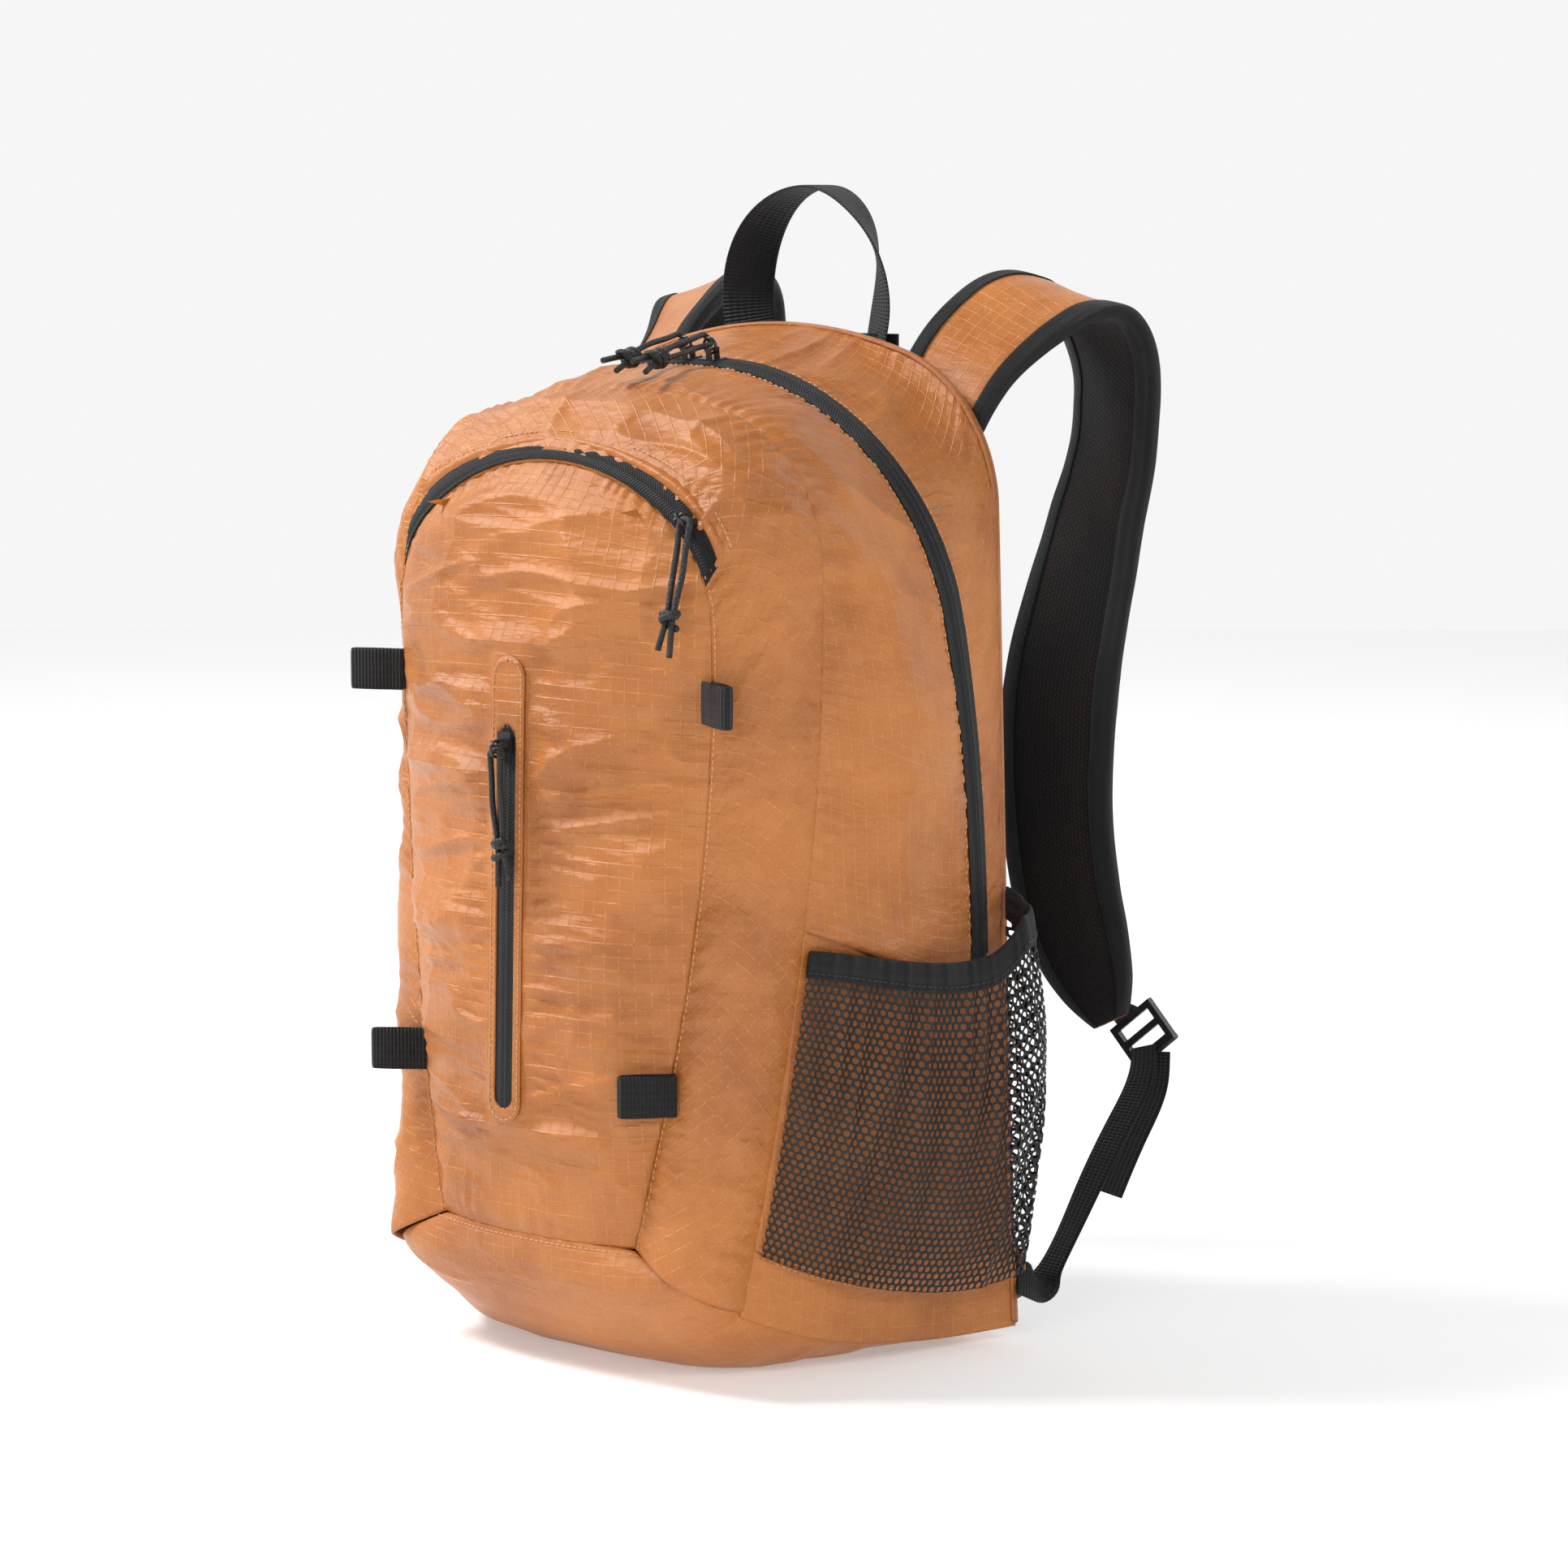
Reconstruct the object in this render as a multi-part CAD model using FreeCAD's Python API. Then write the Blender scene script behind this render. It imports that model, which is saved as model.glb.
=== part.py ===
"""Soft hiking daypack standing upright: body panels, zips with cord pulls, mesh pockets, straps and loops.

Frame: millimetres, +Z up, the zipped front faces -Y and the back panel +Y.
The origin is the centre of the flat patch that the pack stands on.
"""
import FreeCAD, Part
import math
import os
from FreeCAD import Vector

# ---------------------------------------------------------------- driving sizes
body_height = 478.0        # ground to the crown of the back panel
body_width = 264.0         # across the main zip line
back_y = 82.0              # back seam, at the foot
body_depth = 179.0         # back seam to front seam, at the foot
front_bulge = 27.0         # how far the front panel stands out of its seam
back_bulge = 3.0

cloth = 1.5                # shell fabric with its lining
base_cloth = 2.0           # doubled base
seam_gap = 0.3             # between neighbouring panels
base_gap = 2.0             # between the base and the panels over it
panel_gap = 0.0006         # as arch stations, between panels one below the other
corner_gap = 3.8           # between a panel's back edge and the back panel's face that it butts under
pad_clear = 0.4            # between stacked soft pieces
base_roll = 70.0           # the base's front roll, front to back
base_heel = 20.0           # the base's rounding up to the back seam
roll_share = 0.5           # share of the base's length where the front roll ends
flat_share = 0.9           # share of the base's length where the flat sole ends
base_sag = 0.8             # how far the base hangs under the ground level before it is cut flat
corner_fullness = 14.0     # how far the low front corners stand out of the plain cubic

main_tape_width = 11.0
arch_tape_width = 8.0
stash_tape_width = 20.0
tape = 1.1
stash_bottom_z = 124.0
stash_top_z = 300.0
garage_height = 34.0
zip_end = 0.678            # arch station where the main zip goes under the pocket hem
boot_line = 0.95           # arch station of the pocket's lower seam
pocket_start = 0.12        # depth station of the pocket's back edge
pocket_bulge = 32.0
mesh = 1.2
pocket_stand = 3.2         # between the pocket's sewn edges and the side panel
hem_front_z = 202.0
hem_rise = 17.0
hem_rise_share = 0.33      # share of the pocket's width over which its hem rises to the back
hem_share = 0.078          # the hem's share of the pocket's height
hem_split = 0.003          # the gap between the mesh and its hem, as a share of the same height
hem = 2.4
hem_inside = 0.6           # how much of the hem's thickness lies inside the mesh's own surface

webbing = 1.6
haul_width = 25.0
haul_shift = 6.0
haul_half_span = 41.0
haul_y = 92.0
haul_axis_z = body_height - 2.0
haul_rise = 65.0
haul_lean = 3.0            # the handle's top stands this far behind its ends
haul_foot_length = 26.0
haul_foot_drop = 28.0      # from the handle's axis down to its feet's lower ends
haul_stand = 1.6           # between the feet and the handle, front to back

strap_thickness = 9.0
binding = 1.6
adjuster_width = 20.0
lock_width = 30.0
lock_height = 22.0
lock_thickness = 3.2
lock_bar = 3.4
lock_set_back = 1.5        # from the webbing's turn to the buckle's edge
tab_half_height = 17.0
tab_taper = 8.0
tab_thickness = 2.0
tab_fold = 4.0             # how far the tab's fold leans out and down
tab_z = 34.0               # height of the corner tab's middle

loop_width = 20.0
loop_reach = 22.0
loop_gap = 2.6
loop_seam_width = 4.0      # sewn flat before the loop opens

slider_length = 11.0
slider_width = 8.0
slider_plate = 1.6
slider_lift = 0.5          # clearance between a slider and its tape
main_rest_left = -1.5      # closed main sliders, along the crown from its middle
main_rest_right = 13.5
bar_radius = 0.7
bar_share = 0.7            # the crossbar's length as a share of the slider's width
post_length = 3.0
post_width = 1.0
plate_fillet = 0.8
weld = 0.2                 # how far the posts run into the plate, and the ring's play on the crossbar
ring_wire = 0.7
ring_radius = 3.6
ring_rise = math.radians(12)   # a resting ring's angle over its tape
main_rise = math.radians(46)   # the same on the main zip, where two cords share the crown
cord_diameter = 2.4
cord_drop = 44.0           # ring to knot
knot_radius = 4.2
ring_clear = 0.35          # between a resting ring and its slider's plate
thread_clear = 0.8         # between a cord and the ring that it hangs on

back_pad_thickness = 5.0
back_pad_top = 0.96        # share of the back panel's height where the pad ends
back_pad_stand = 3.2       # the pad's edge is lower than the panel's belly there
pocket_wall_setback = 18.0
bag_half_width = 48.0
bag_margin = 10.0          # of the stash pocket's bag, above and below its zip
bag_stand = 1.0
bag_thickness = 0.8
garage_margin = 6.0        # how much wider the hood is than the tape
garage_open = 13.0         # height of the hood's open end over the zip's top

crown_share = 0.4          # share of a rail's stations that lie on its crown


class Rail:
    """A seam round the pack: crown arc, corner arcs, then a side that runs down to its foot."""

    def __init__(self, half, foot_half, top, foot, crown_r, corner_r, lean, crown_y, foot_y, foot_slope):
        self.half, self.foot_half, self.top, self.foot = half, foot_half, top, foot
        self.crown_r, self.corner_r, self.lean = crown_r, corner_r, math.radians(lean)
        self.crown_y, self.foot_y, self.foot_slope = crown_y, foot_y, foot_slope
        self.turn = math.asin((half - corner_r) / (crown_r - corner_r))
        self.centre_drop = crown_r - (crown_r - corner_r) * math.cos(self.turn)
        self.side_z = top - self.centre_drop * math.cos(self.lean)
        self.side_y = crown_y + self.centre_drop * math.sin(self.lean)

    def crown(self, length):
        """Point at an arc length from the crown's middle, as (x, drop) in the rail's own leaning plane."""
        first = self.crown_r * self.turn
        if length <= first:
            angle = length / self.crown_r
            return self.crown_r * math.sin(angle), self.crown_r * (1 - math.cos(angle))
        angle = self.turn + (length - first) / self.corner_r
        x = self.half - self.corner_r + self.corner_r * math.sin(angle)
        return x, self.centre_drop - self.corner_r * math.cos(angle)

    def point(self, station):
        share, sign = abs(station), math.copysign(1.0, station)
        if share <= crown_share:
            whole = self.crown_r * self.turn + self.corner_r * (math.pi / 2 - self.turn)
            x, drop = self.crown(whole * share / crown_share)
            y = self.crown_y + drop * math.sin(self.lean)
            return Vector(sign * x, y, self.top - drop * math.cos(self.lean))
        r = (share - crown_share) / (1 - crown_share)
        x = self.half + (self.foot_half - self.half) * r * r
        fall = self.side_z - self.foot
        y = hermite(self.side_y, fall * math.tan(self.lean), self.foot_y, self.foot_slope, r)
        return Vector(sign * x, y, self.side_z - fall * r)

    def station_at(self, z):
        """Station on the side at a given height."""
        return crown_share + (1 - crown_share) * (self.side_z - z) / (self.side_z - self.foot)


def hermite(a, slope_a, b, slope_b, r):
    """Cubic from a to b with the given end slopes."""
    return (a * (2 * r**3 - 3 * r**2 + 1) + slope_a * (r**3 - 2 * r**2 + r)
            + b * (3 * r**2 - 2 * r**3) + slope_b * (r**3 - r**2))


half_width = body_width / 2
front_y = back_y - body_depth
BACK, ZIP, SIDE, FRONT = 0, 1, 2, 3
FRONT_TOP = 0.20           # station where the front panel's side seams give way to the arch zip
FRONT_LOW = 0.42           # share of the bulge left at the base seam
BACK_TOP = 0.17
ARCH_END = 0.34            # station where the arch zip ends
ARCH_REST = 0.257          # station of the closed arch slider
RAILS = [
    Rail(half_width - 4, half_width + 8, body_height, 10, 250, 75, 2.6, back_y - 7, back_y, 0),
    Rail(half_width, half_width + 1, body_height - 16, 9, 300, 117, 15.6, back_y - 71, back_y - 20, 0),
    Rail(half_width - 10, half_width - 34, body_height - 27, 36, 260, 70, 1.5,
         front_y + 56, front_y + 30, -51),
    Rail(half_width - 35, half_width - 72, body_height - 58, 65, 120, 60, 2.2, front_y + 9, front_y, -17),
]


def skin(station, depth, lift=0.0):
    """Body surface: a cubic through the four rails, with a fuller corner low down between the last two."""
    points = [rail.point(station) for rail in RAILS]
    knots = [0.0]
    for a, b in zip(points, points[1:]):
        knots.append(knots[-1] + (b - a).Length)
    i = min(max(int(depth), 0), 2)
    at = knots[i] + (depth - i) * (knots[i + 1] - knots[i])
    total = Vector()
    for j, p in enumerate(points):
        weight = 1.0
        for m, k in enumerate(knots):
            if m != j:
                weight *= (at - k) / (knots[j] - k)
        total += p * weight
    low = max(0.0, (abs(station) - crown_share) / (1 - crown_share))
    if depth > SIDE:
        full = corner_fullness * low**1.5 * math.sin(math.pi * (depth - SIDE))
        total += Vector(math.copysign(0.6, station), -0.8, 0) * full
    return total


def across(station, rail, offset):
    """Depth station that lies a distance in millimetres in front of a rail, or behind it if negative."""
    other = rail + 1 if offset > 0 else rail - 1
    chord = (RAILS[other].point(station) - RAILS[rail].point(station)).Length
    return rail + offset / chord


def spread(start, end, count):
    return [start + (end - start) * i / (count - 1) for i in range(count)]


def spacing(lines):
    """Shared parameters for a set of lines: their mean chord lengths."""
    at = [0.0]
    for k in range(1, len(lines[0])):
        at.append(at[-1] + sum((line[k] - line[k - 1]).Length for line in lines) / len(lines))
    return at


def fitted(lines):
    """Poles of cubic curves through each line of points, with the one knot set that they all share."""
    at = spacing(lines)
    poles = []
    for line in lines:
        curve = Part.BSplineCurve()
        curve.interpolate(Points=line, Parameters=at)
        poles.append(curve.getPoles())
    return poles, (curve.getMultiplicities(), curve.getKnots(), curve.Degree)


def turned(net):
    return [list(line) for line in zip(*net)]


def lifted(grid, distance):
    """The grid moved along its own normals, towards +(row direction x column direction)."""
    rows, cols = len(grid), len(grid[0])
    moved = []
    for i in range(rows):
        line = []
        for j in range(cols):
            along = grid[min(i + 1, rows - 1)][j] - grid[max(i - 1, 0)][j]
            over = grid[i][min(j + 1, cols - 1)] - grid[i][max(j - 1, 0)]
            normal = along.cross(over)
            normal.normalize()
            line.append(grid[i][j] + normal * distance)
        moved.append(line)
    return moved


def shell(grid, inner, outer=0.0):
    """Closed solid between two liftings of a surface through a grid; its faces share one set of knots."""
    along, cols = fitted(grid)
    over, rows = fitted(turned(along))
    poles = turned(over)
    low, high = lifted(poles, inner), lifted(poles, outer)
    faces = [face(low, rows, cols), face(high, rows, cols)]
    ruled = ([2, 2], [0.0, 1.0], 1)
    for k in (0, -1):
        faces.append(face([low[k], high[k]], ruled, cols))
        faces.append(face([[line[k] for line in low], [line[k] for line in high]], ruled, rows))
    closed = Part.makeShell(faces)
    closed.sewShape()
    solid = Part.makeSolid(closed)
    if solid.Volume < 0:
        solid.reverse()
    return solid


def face(poles, rows, cols):
    patch = Part.BSplineSurface()
    patch.buildFromPolesMultsKnots(poles, rows[0], cols[0], rows[1], cols[1], False, False, rows[2], cols[2])
    return patch.toShape()


def depths(station, start, end, count):
    """Depth stations evenly spaced in millimetres from start to end."""
    points = [rail.point(station) for rail in RAILS]
    knots = [0.0]
    for a, b in zip(points, points[1:]):
        knots.append(knots[-1] + (b - a).Length)
    ends = []
    for d in (start, end):
        i = min(max(int(d), 0), 2)
        ends.append(knots[i] + (d - i) * (knots[i + 1] - knots[i]))
    even = []
    for at in spread(ends[0], ends[1], count):
        i = max(k for k in range(3) if k == 0 or knots[k] <= at)
        even.append(i + (at - knots[i]) / (knots[i + 1] - knots[i]))
    return even


POCKET_DEPTHS = depths(0.8, pocket_start, 1.99, 21)


def strip(stations, back_edge, front_edge, count, inner, outer=0.0):
    """Body panel between two depth edges, each a function of the station."""
    grid = [[skin(s, d) for d in depths(s, back_edge(s), front_edge(s), count)] for s in stations]
    return shell(grid, inner, outer)


# ---------------------------------------------------------------- body panels
def face_point(rail, top_share, across_share, up_share, bulge, low_bulge, inset=0.0):
    """Point of an arch-shaped face: rows run between the rail's two sides, the last row is its crown."""
    station = 1 - (1 - top_share) * up_share
    edge = rail.point(station)
    crown_rise = rail.point(top_share * across_share).z - rail.point(top_share).z
    fade = up_share**4
    belly = (low_bulge + (1 - low_bulge) * min(1.0, 4 * up_share)) * (1 - up_share**6)
    x = (edge.x - inset) * across_share
    y = edge.y + bulge * belly * (1 - abs(across_share)**2.4)
    level = edge.z + (inset if up_share < 0.5 else -inset) * abs(2 * up_share - 1)
    return Vector(x, y, level + fade * crown_rise)


def face_grid(rail, top_share, bulge, low_bulge, rows=17, cols=13, inset=0.0, low=0.0, high=1.0):
    return [[face_point(rail, top_share, c, v, bulge, low_bulge, inset) for c in spread(-1, 1, cols)]
            for v in spread(low, high, rows)]


def front_at(x, z):
    """Point of the front panel at a given place seen from the front."""
    rail = RAILS[FRONT]
    low, high = 0.0, 1.0
    for _ in range(40):
        up = (low + high) / 2
        edge = rail.point(1 - (1 - FRONT_TOP) * up).x
        p = face_point(rail, FRONT_TOP, x / edge, up, -front_bulge, FRONT_LOW)
        if p.z < z:
            low = up
        else:
            high = up
    return p


def front_panel():
    grid = face_grid(RAILS[FRONT], FRONT_TOP, -front_bulge, FRONT_LOW)
    return shell(trimmed(grid), 0.0, cloth)


def pocket_wall():
    """Inner wall behind the front pocket."""
    grid = face_grid(RAILS[FRONT], FRONT_TOP, -6.0, FRONT_LOW, inset=6.0)
    return shell(trimmed(grid), pocket_wall_setback, pocket_wall_setback + 0.8)


def trimmed(grid):
    """A grid pulled in along its plane so that a seam gap is left all round."""
    middle = Vector(0, 0, 0)
    count = 0
    for line in grid:
        for p in line:
            middle += p
            count += 1
    middle = middle * (1.0 / count)
    reach = (grid[0][-1] - grid[0][0]).Length / 2
    share = seam_gap / reach
    return [[Vector(p.x + (middle.x - p.x) * share, p.y, p.z + (middle.z - p.z) * share) for p in line]
            for line in grid]


def back_panel():
    grid = face_grid(RAILS[BACK], BACK_TOP, back_bulge, 0.3)
    return shell(trimmed(grid), -cloth, 0.0)


def back_pad():
    grid = face_grid(RAILS[BACK], BACK_TOP, back_bulge, 0.3, inset=16.0, high=back_pad_top)
    return shell(grid, back_pad_stand, back_pad_stand + back_pad_thickness)


def gusset(back):
    """Zip gusset, behind or in front of the main zip."""
    half = main_tape_width / 2 + seam_gap
    stations = spread(-zip_end, zip_end, 41)
    if back:
        return strip(stations, lambda s: across(s, BACK, corner_gap), lambda s: across(s, ZIP, -half),
                     5, 0, cloth)
    return strip(stations, lambda s: across(s, ZIP, half), lambda s: across(s, SIDE, -seam_gap),
                 8, 0, cloth)


def main_tape():
    half = main_tape_width / 2
    stations = spread(-zip_end, zip_end, 41)
    return strip(stations, lambda s: across(s, ZIP, -half), lambda s: across(s, ZIP, half), 4, 0, tape)


def low_side(sign, start, end):
    """Side panel below the zip, or the boot below the pocket."""
    stations = [sign * s for s in spread(start + panel_gap, end - panel_gap, 9)]
    return strip(stations, lambda s: across(s, BACK, corner_gap), lambda s: across(s, SIDE, -seam_gap), 9,
                 0, sign * cloth)


def yoke():
    stations = spread(-1, 1, 61)
    return strip(stations, lambda s: across(s, SIDE, seam_gap), lambda s: across(s, FRONT, -3 * seam_gap),
                 7, 0, cloth)


def arch_tape():
    stations = spread(-ARCH_END, ARCH_END, 25)
    return strip(stations, lambda s: across(s, FRONT, -arch_tape_width), lambda s: across(s, FRONT, -seam_gap),
                 4, -pad_clear - tape, -pad_clear)


def base_panel():
    """Boat-shaped base: it rolls up at the front to the base seam and is cut flat where it stands."""
    roll_z = RAILS[FRONT].foot - pad_clear
    heel_z = RAILS[BACK].foot - base_gap
    nose = RAILS[FRONT].foot_y - front_bulge * FRONT_LOW
    flat_start, flat_end = nose + base_roll, back_y + base_gap - base_heel
    foot = [skin(1, d) for d in spread(FRONT, BACK, 61)]
    lengths = [0.0]
    for a, b in zip(foot, foot[1:]):
        lengths.append(lengths[-1] + (b - a).Length)
    rows = []
    for v in spread(0, 1, 27):
        at = v * lengths[-1]
        k = max(i for i, l in enumerate(lengths) if l <= at + 1e-9)
        k = min(k, len(foot) - 2)
        share = (at - lengths[k]) / (lengths[k + 1] - lengths[k])
        edge = foot[k] + (foot[k + 1] - foot[k]) * share
        if v < roll_share:
            angle = v / roll_share * math.pi / 2
            y = flat_start - base_roll * math.cos(angle)
            z = roll_z * (1 - math.sin(angle))
        elif v < flat_share:
            y = flat_start + (flat_end - flat_start) * (v - roll_share) / (flat_share - roll_share)
            z = 0.0
        else:
            angle = (v - flat_share) / (1 - flat_share) * math.pi / 2
            y = flat_end + base_heel * math.sin(angle)
            z = heel_z * (1 - math.cos(angle))
        row = []
        for c in spread(-1, 1, 17):
            level = z - base_sag
            rise = (edge.z - base_gap - level) * abs(c)**5
            row.append(Vector(edge.x * c, y + (edge.y - y) * abs(c)**2.4, level + rise))
        rows.append(row)
    solid = shell(rows, -base_cloth, 0.0)
    ground = Part.makeBox(600, 600, 50, Vector(-300, -300, -50))
    return solid.cut(ground)


# ---------------------------------------------------------------- side pockets
def hem_z(share):
    """Height of the pocket hem's top edge: level in front, rising towards the back."""
    return hem_front_z + hem_rise * max(0.0, 1 - share / hem_rise_share)**1.6


def pocket_point(sign, share, up):
    """Point of the stuffed mesh pocket: share runs from its back edge to its front, up from its low seam.

    It stands out sharply near its back edge, fades towards its front, and is fullest halfway up.
    """
    depth = POCKET_DEPTHS[round(share * (len(POCKET_DEPTHS) - 1))]
    behind, ahead = RAILS[int(depth)], RAILS[int(depth) + 1]
    part = depth - int(depth)
    top = behind.station_at(hem_z(share)) * (1 - part) + ahead.station_at(hem_z(share)) * part
    station = boot_line + (top - boot_line) * up
    belly = 1.25 * (1 - math.exp(-share / 0.06)) * (1 - share)**1.3
    height = 0.30 + 0.70 * math.sin(math.pi * min(1.0, 0.12 + 0.68 * up))
    p = skin(sign * station, depth)
    return Vector(p.x + sign * (pocket_stand + pocket_bulge * belly * height), p.y, p.z)


def pocket_grid(sign, low, high, rows):
    columns = spread(0, 1, len(POCKET_DEPTHS))
    return [[pocket_point(sign, share, up) for share in columns] for up in spread(low, high, rows)]


def pocket_mesh(sign):
    return shell(pocket_grid(sign, 0.0, 1 - hem_share, 11), 0.0, sign * mesh)


def pocket_hem(sign):
    return shell(pocket_grid(sign, 1 - hem_share + hem_split, 1.0, 4), -sign * hem_inside, sign * (hem - hem_inside))


# ---------------------------------------------------------------- straps and webbing
STRAP = [  # centre x, y, z, half width, width direction, for the strap on the +X side
    (94, 86, 450, 25, (0.80, 0.00, -0.58)),
    (96, 99, 464, 26, (0.84, 0.02, -0.50)),
    (99, 116, 477, 28, (0.90, 0.04, -0.42)),
    (107, 143, 490, 31, (0.95, 0.00, -0.30)),
    (117, 167, 484, 32, (0.97, -0.10, -0.22)),
    (123, 179, 456, 32, (0.95, -0.28, -0.14)),
    (119, 179, 405, 32, (0.95, -0.28, 0.00)),
    (107, 174, 350, 32, (0.99, -0.10, 0.05)),
    (99, 169, 295, 33, (1.00, 0.00, 0.05)),
    (101, 165, 240, 31, (1.00, 0.02, -0.05)),
    (112, 162, 195, 29, (0.98, 0.04, -0.20)),
    (127, 162, 160, 21, (0.93, 0.06, -0.36)),
    (136, 163, 142, 12, (0.90, 0.06, -0.44)),
]
ROOT_STATIONS = 2          # the strap's first stations are the sewn root; the pad starts after them

ADJUSTER = [  # the webbing from the buckle to the bottom corner
    (151, 168, 119, (0.90, -0.35, -0.10)),
    (150, 153, 97, (0.90, -0.35, -0.10)),
    (145, 130, 62, (0.88, -0.40, -0.15)),
    (140, 114, 34, (0.80, -0.50, -0.20)),
    (139, 103, 24, (0.60, -0.50, -0.50)),
    (142, 95, 27, (0.40, -0.45, -0.70)),
]
TAIL = [  # the webbing's loose end below the buckle
    (154, 176, 113, (0.90, -0.35, -0.10)),
    (151, 164, 89, (0.90, -0.35, -0.10)),
    (146, 150, 60, (0.88, -0.38, -0.12)),
]


def ribbon(stations, widths, thickness, sign=1, columns=5, rows=25, edges=None):
    """Flat strip through centre points, each with its half width and a rough width direction.

    edges gives the strip's two long edges as distances from the centre line for a half width.
    """
    centre = Part.BSplineCurve()
    centre.interpolate([Vector(x, y, z) for x, y, z, _ in stations])
    knots = [centre.parameter(Vector(x, y, z)) for x, y, z, _ in stations]
    grid = []
    for at in spread(centre.FirstParameter, centre.LastParameter, rows):
        i = max(k for k in range(len(knots) - 1) if k == 0 or knots[k] <= at + 1e-9)
        share = (at - knots[i]) / (knots[i + 1] - knots[i])
        share = share * share * (3 - 2 * share)
        way = Vector(*stations[i][3]) * (1 - share) + Vector(*stations[i + 1][3]) * share
        half = widths[i] * (1 - share) + widths[i + 1] * share
        ahead = centre.tangent(at)[0]
        way = way - ahead * way.dot(ahead)
        way.normalize()
        p = centre.value(at)
        low, high = edges(half) if edges else (-half, half)
        grid.append([Vector(sign * (p.x + way.x * c), p.y + way.y * c, p.z + way.z * c)
                     for c in spread(low, high, columns)])
    return shell(grid, -thickness / 2, thickness / 2)


def strap_rows(first, last):
    rows = STRAP[first:last]
    return [(x, y, z, way) for x, y, z, _, way in rows], [half for _, _, _, half, _ in rows]


def strap_root(sign):
    rows, widths = strap_rows(0, ROOT_STATIONS)
    return ribbon(rows, widths, strap_thickness * 0.6, sign)


def strap_pad(sign):
    rows, widths = strap_rows(ROOT_STATIONS, len(STRAP))
    inset = binding + seam_gap
    return ribbon(rows, widths, strap_thickness, sign, edges=lambda half: (inset - half, half - inset))


def strap_binding(sign):
    """Woven tape along both long edges of the strap."""
    rows, widths = strap_rows(ROOT_STATIONS, len(STRAP))
    return Part.makeCompound([
        ribbon(rows, widths, strap_thickness, sign, 3, edges=lambda half: (-half, binding - half)),
        ribbon(rows, widths, strap_thickness, sign, 3, edges=lambda half: (half - binding, half)),
    ])


def adjuster(sign):
    straight = ribbon(ADJUSTER, [adjuster_width / 2] * len(ADJUSTER), webbing, sign)
    tail = ribbon(TAIL, [adjuster_width / 2] * len(TAIL), webbing, sign)
    return Part.makeCompound([straight, tail])


def frame_at(origin, right, up):
    """Placement whose X runs along right and whose Y runs along up."""
    x = Vector(*right)
    x.normalize()
    y = Vector(*up)
    y = y - x * y.dot(x)
    y.normalize()
    z = x.cross(y)
    return FreeCAD.Placement(FreeCAD.Matrix(
        x.x, y.x, z.x, origin[0], x.y, y.y, z.y, origin[1], x.z, y.z, z.z, origin[2], 0, 0, 0, 1))


LOCK_PIVOT = (139, 173.0, 146)
LOCK_DOWN = (0.62, 0.12, -0.78)
LOCK_RIGHT = (0.78, -0.05, 0.62)


def ladder_lock(sign):
    """Moulded buckle: a frame with a sewn-on bar, a middle bar and a thumb edge."""
    t, w, h, bar = lock_thickness, lock_width, lock_height, lock_bar
    body = Part.makeBox(w, h, t, Vector(-w / 2, -h - lock_set_back, -t / 2))
    slot = (h - 3 * bar) / 2
    for k in range(2):
        low = -lock_set_back - bar - k * (slot + bar) - slot
        body = body.cut(Part.makeBox(w - 2 * bar, slot, 2 * t, Vector(-w / 2 + bar, low, -t)))
    lip = Part.makeCylinder(t * 0.62, w, Vector(-w / 2, -h - lock_set_back, 0), Vector(1, 0, 0))
    body = body.fuse(lip).removeSplitter()
    body.Placement = frame_at(LOCK_PIVOT, LOCK_RIGHT, (-LOCK_DOWN[0], -LOCK_DOWN[1], -LOCK_DOWN[2]))
    return mirrored(body, sign)


def mirrored(shape, sign):
    return shape if sign > 0 else shape.mirror(Vector(), Vector(1, 0, 0))


def corner_tab(sign):
    """Folded fabric wing sewn into the bottom corner, which holds the adjuster webbing."""
    corner = RAILS[BACK].point(RAILS[BACK].station_at(tab_z))
    grid = []
    for v in spread(0, 1, 4):
        half = tab_half_height - tab_taper * v
        y = corner.y + tab_thickness / 2 + tab_taper * v
        x = corner.x - tab_fold + (tab_fold + 1) * v
        z = corner.z - tab_fold * v
        hollow = [(tab_fold + 1) * (1 - v) * (1 - c * c) for c in spread(-1, 1, 5)]
        grid.append([Vector(sign * (x - h), y, z + half * c) for h, c in zip(hollow, spread(-1, 1, 5))])
    return shell(grid, -tab_thickness / 2, tab_thickness / 2)


HAUL = [  # share of the half span, share of the rise, width direction
    (-1.00, 0.04, (0.85, 0.50, 0)),
    (-1.02, 0.32, (0.72, 0.69, 0)),
    (-0.86, 0.66, (0.45, 0.89, 0)),
    (-0.42, 0.94, (0.15, 0.98, 0)),
    (0.12, 1.00, (-0.05, 1.00, 0)),
    (0.62, 0.82, (-0.30, 0.95, 0)),
    (0.96, 0.44, (-0.70, 0.72, 0)),
    (1.00, 0.04, (-0.85, 0.50, 0)),
]


def haul_loop():
    rows = []
    for a, b, way in HAUL:
        z = haul_axis_z + haul_rise * b + 2
        rows.append((haul_shift + haul_half_span * a, haul_y + 1 + haul_lean * b, z, way))
    return ribbon(rows, [haul_width / 2] * len(rows), webbing, columns=3)


def haul_feet():
    """The handle's two sewn ends, on the back of the panel."""
    feet = []
    for side in (-1, 1):
        x = haul_shift + side * haul_half_span
        y = haul_y + 1 - haul_stand
        rows = [(x, y, haul_axis_z - haul_foot_drop + rise, (1, 0, 0)) for rise in spread(0, haul_foot_length, 4)]
        feet.append(ribbon(rows, [haul_width / 2] * 4, webbing, columns=3))
    return Part.makeCompound(feet)


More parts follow.
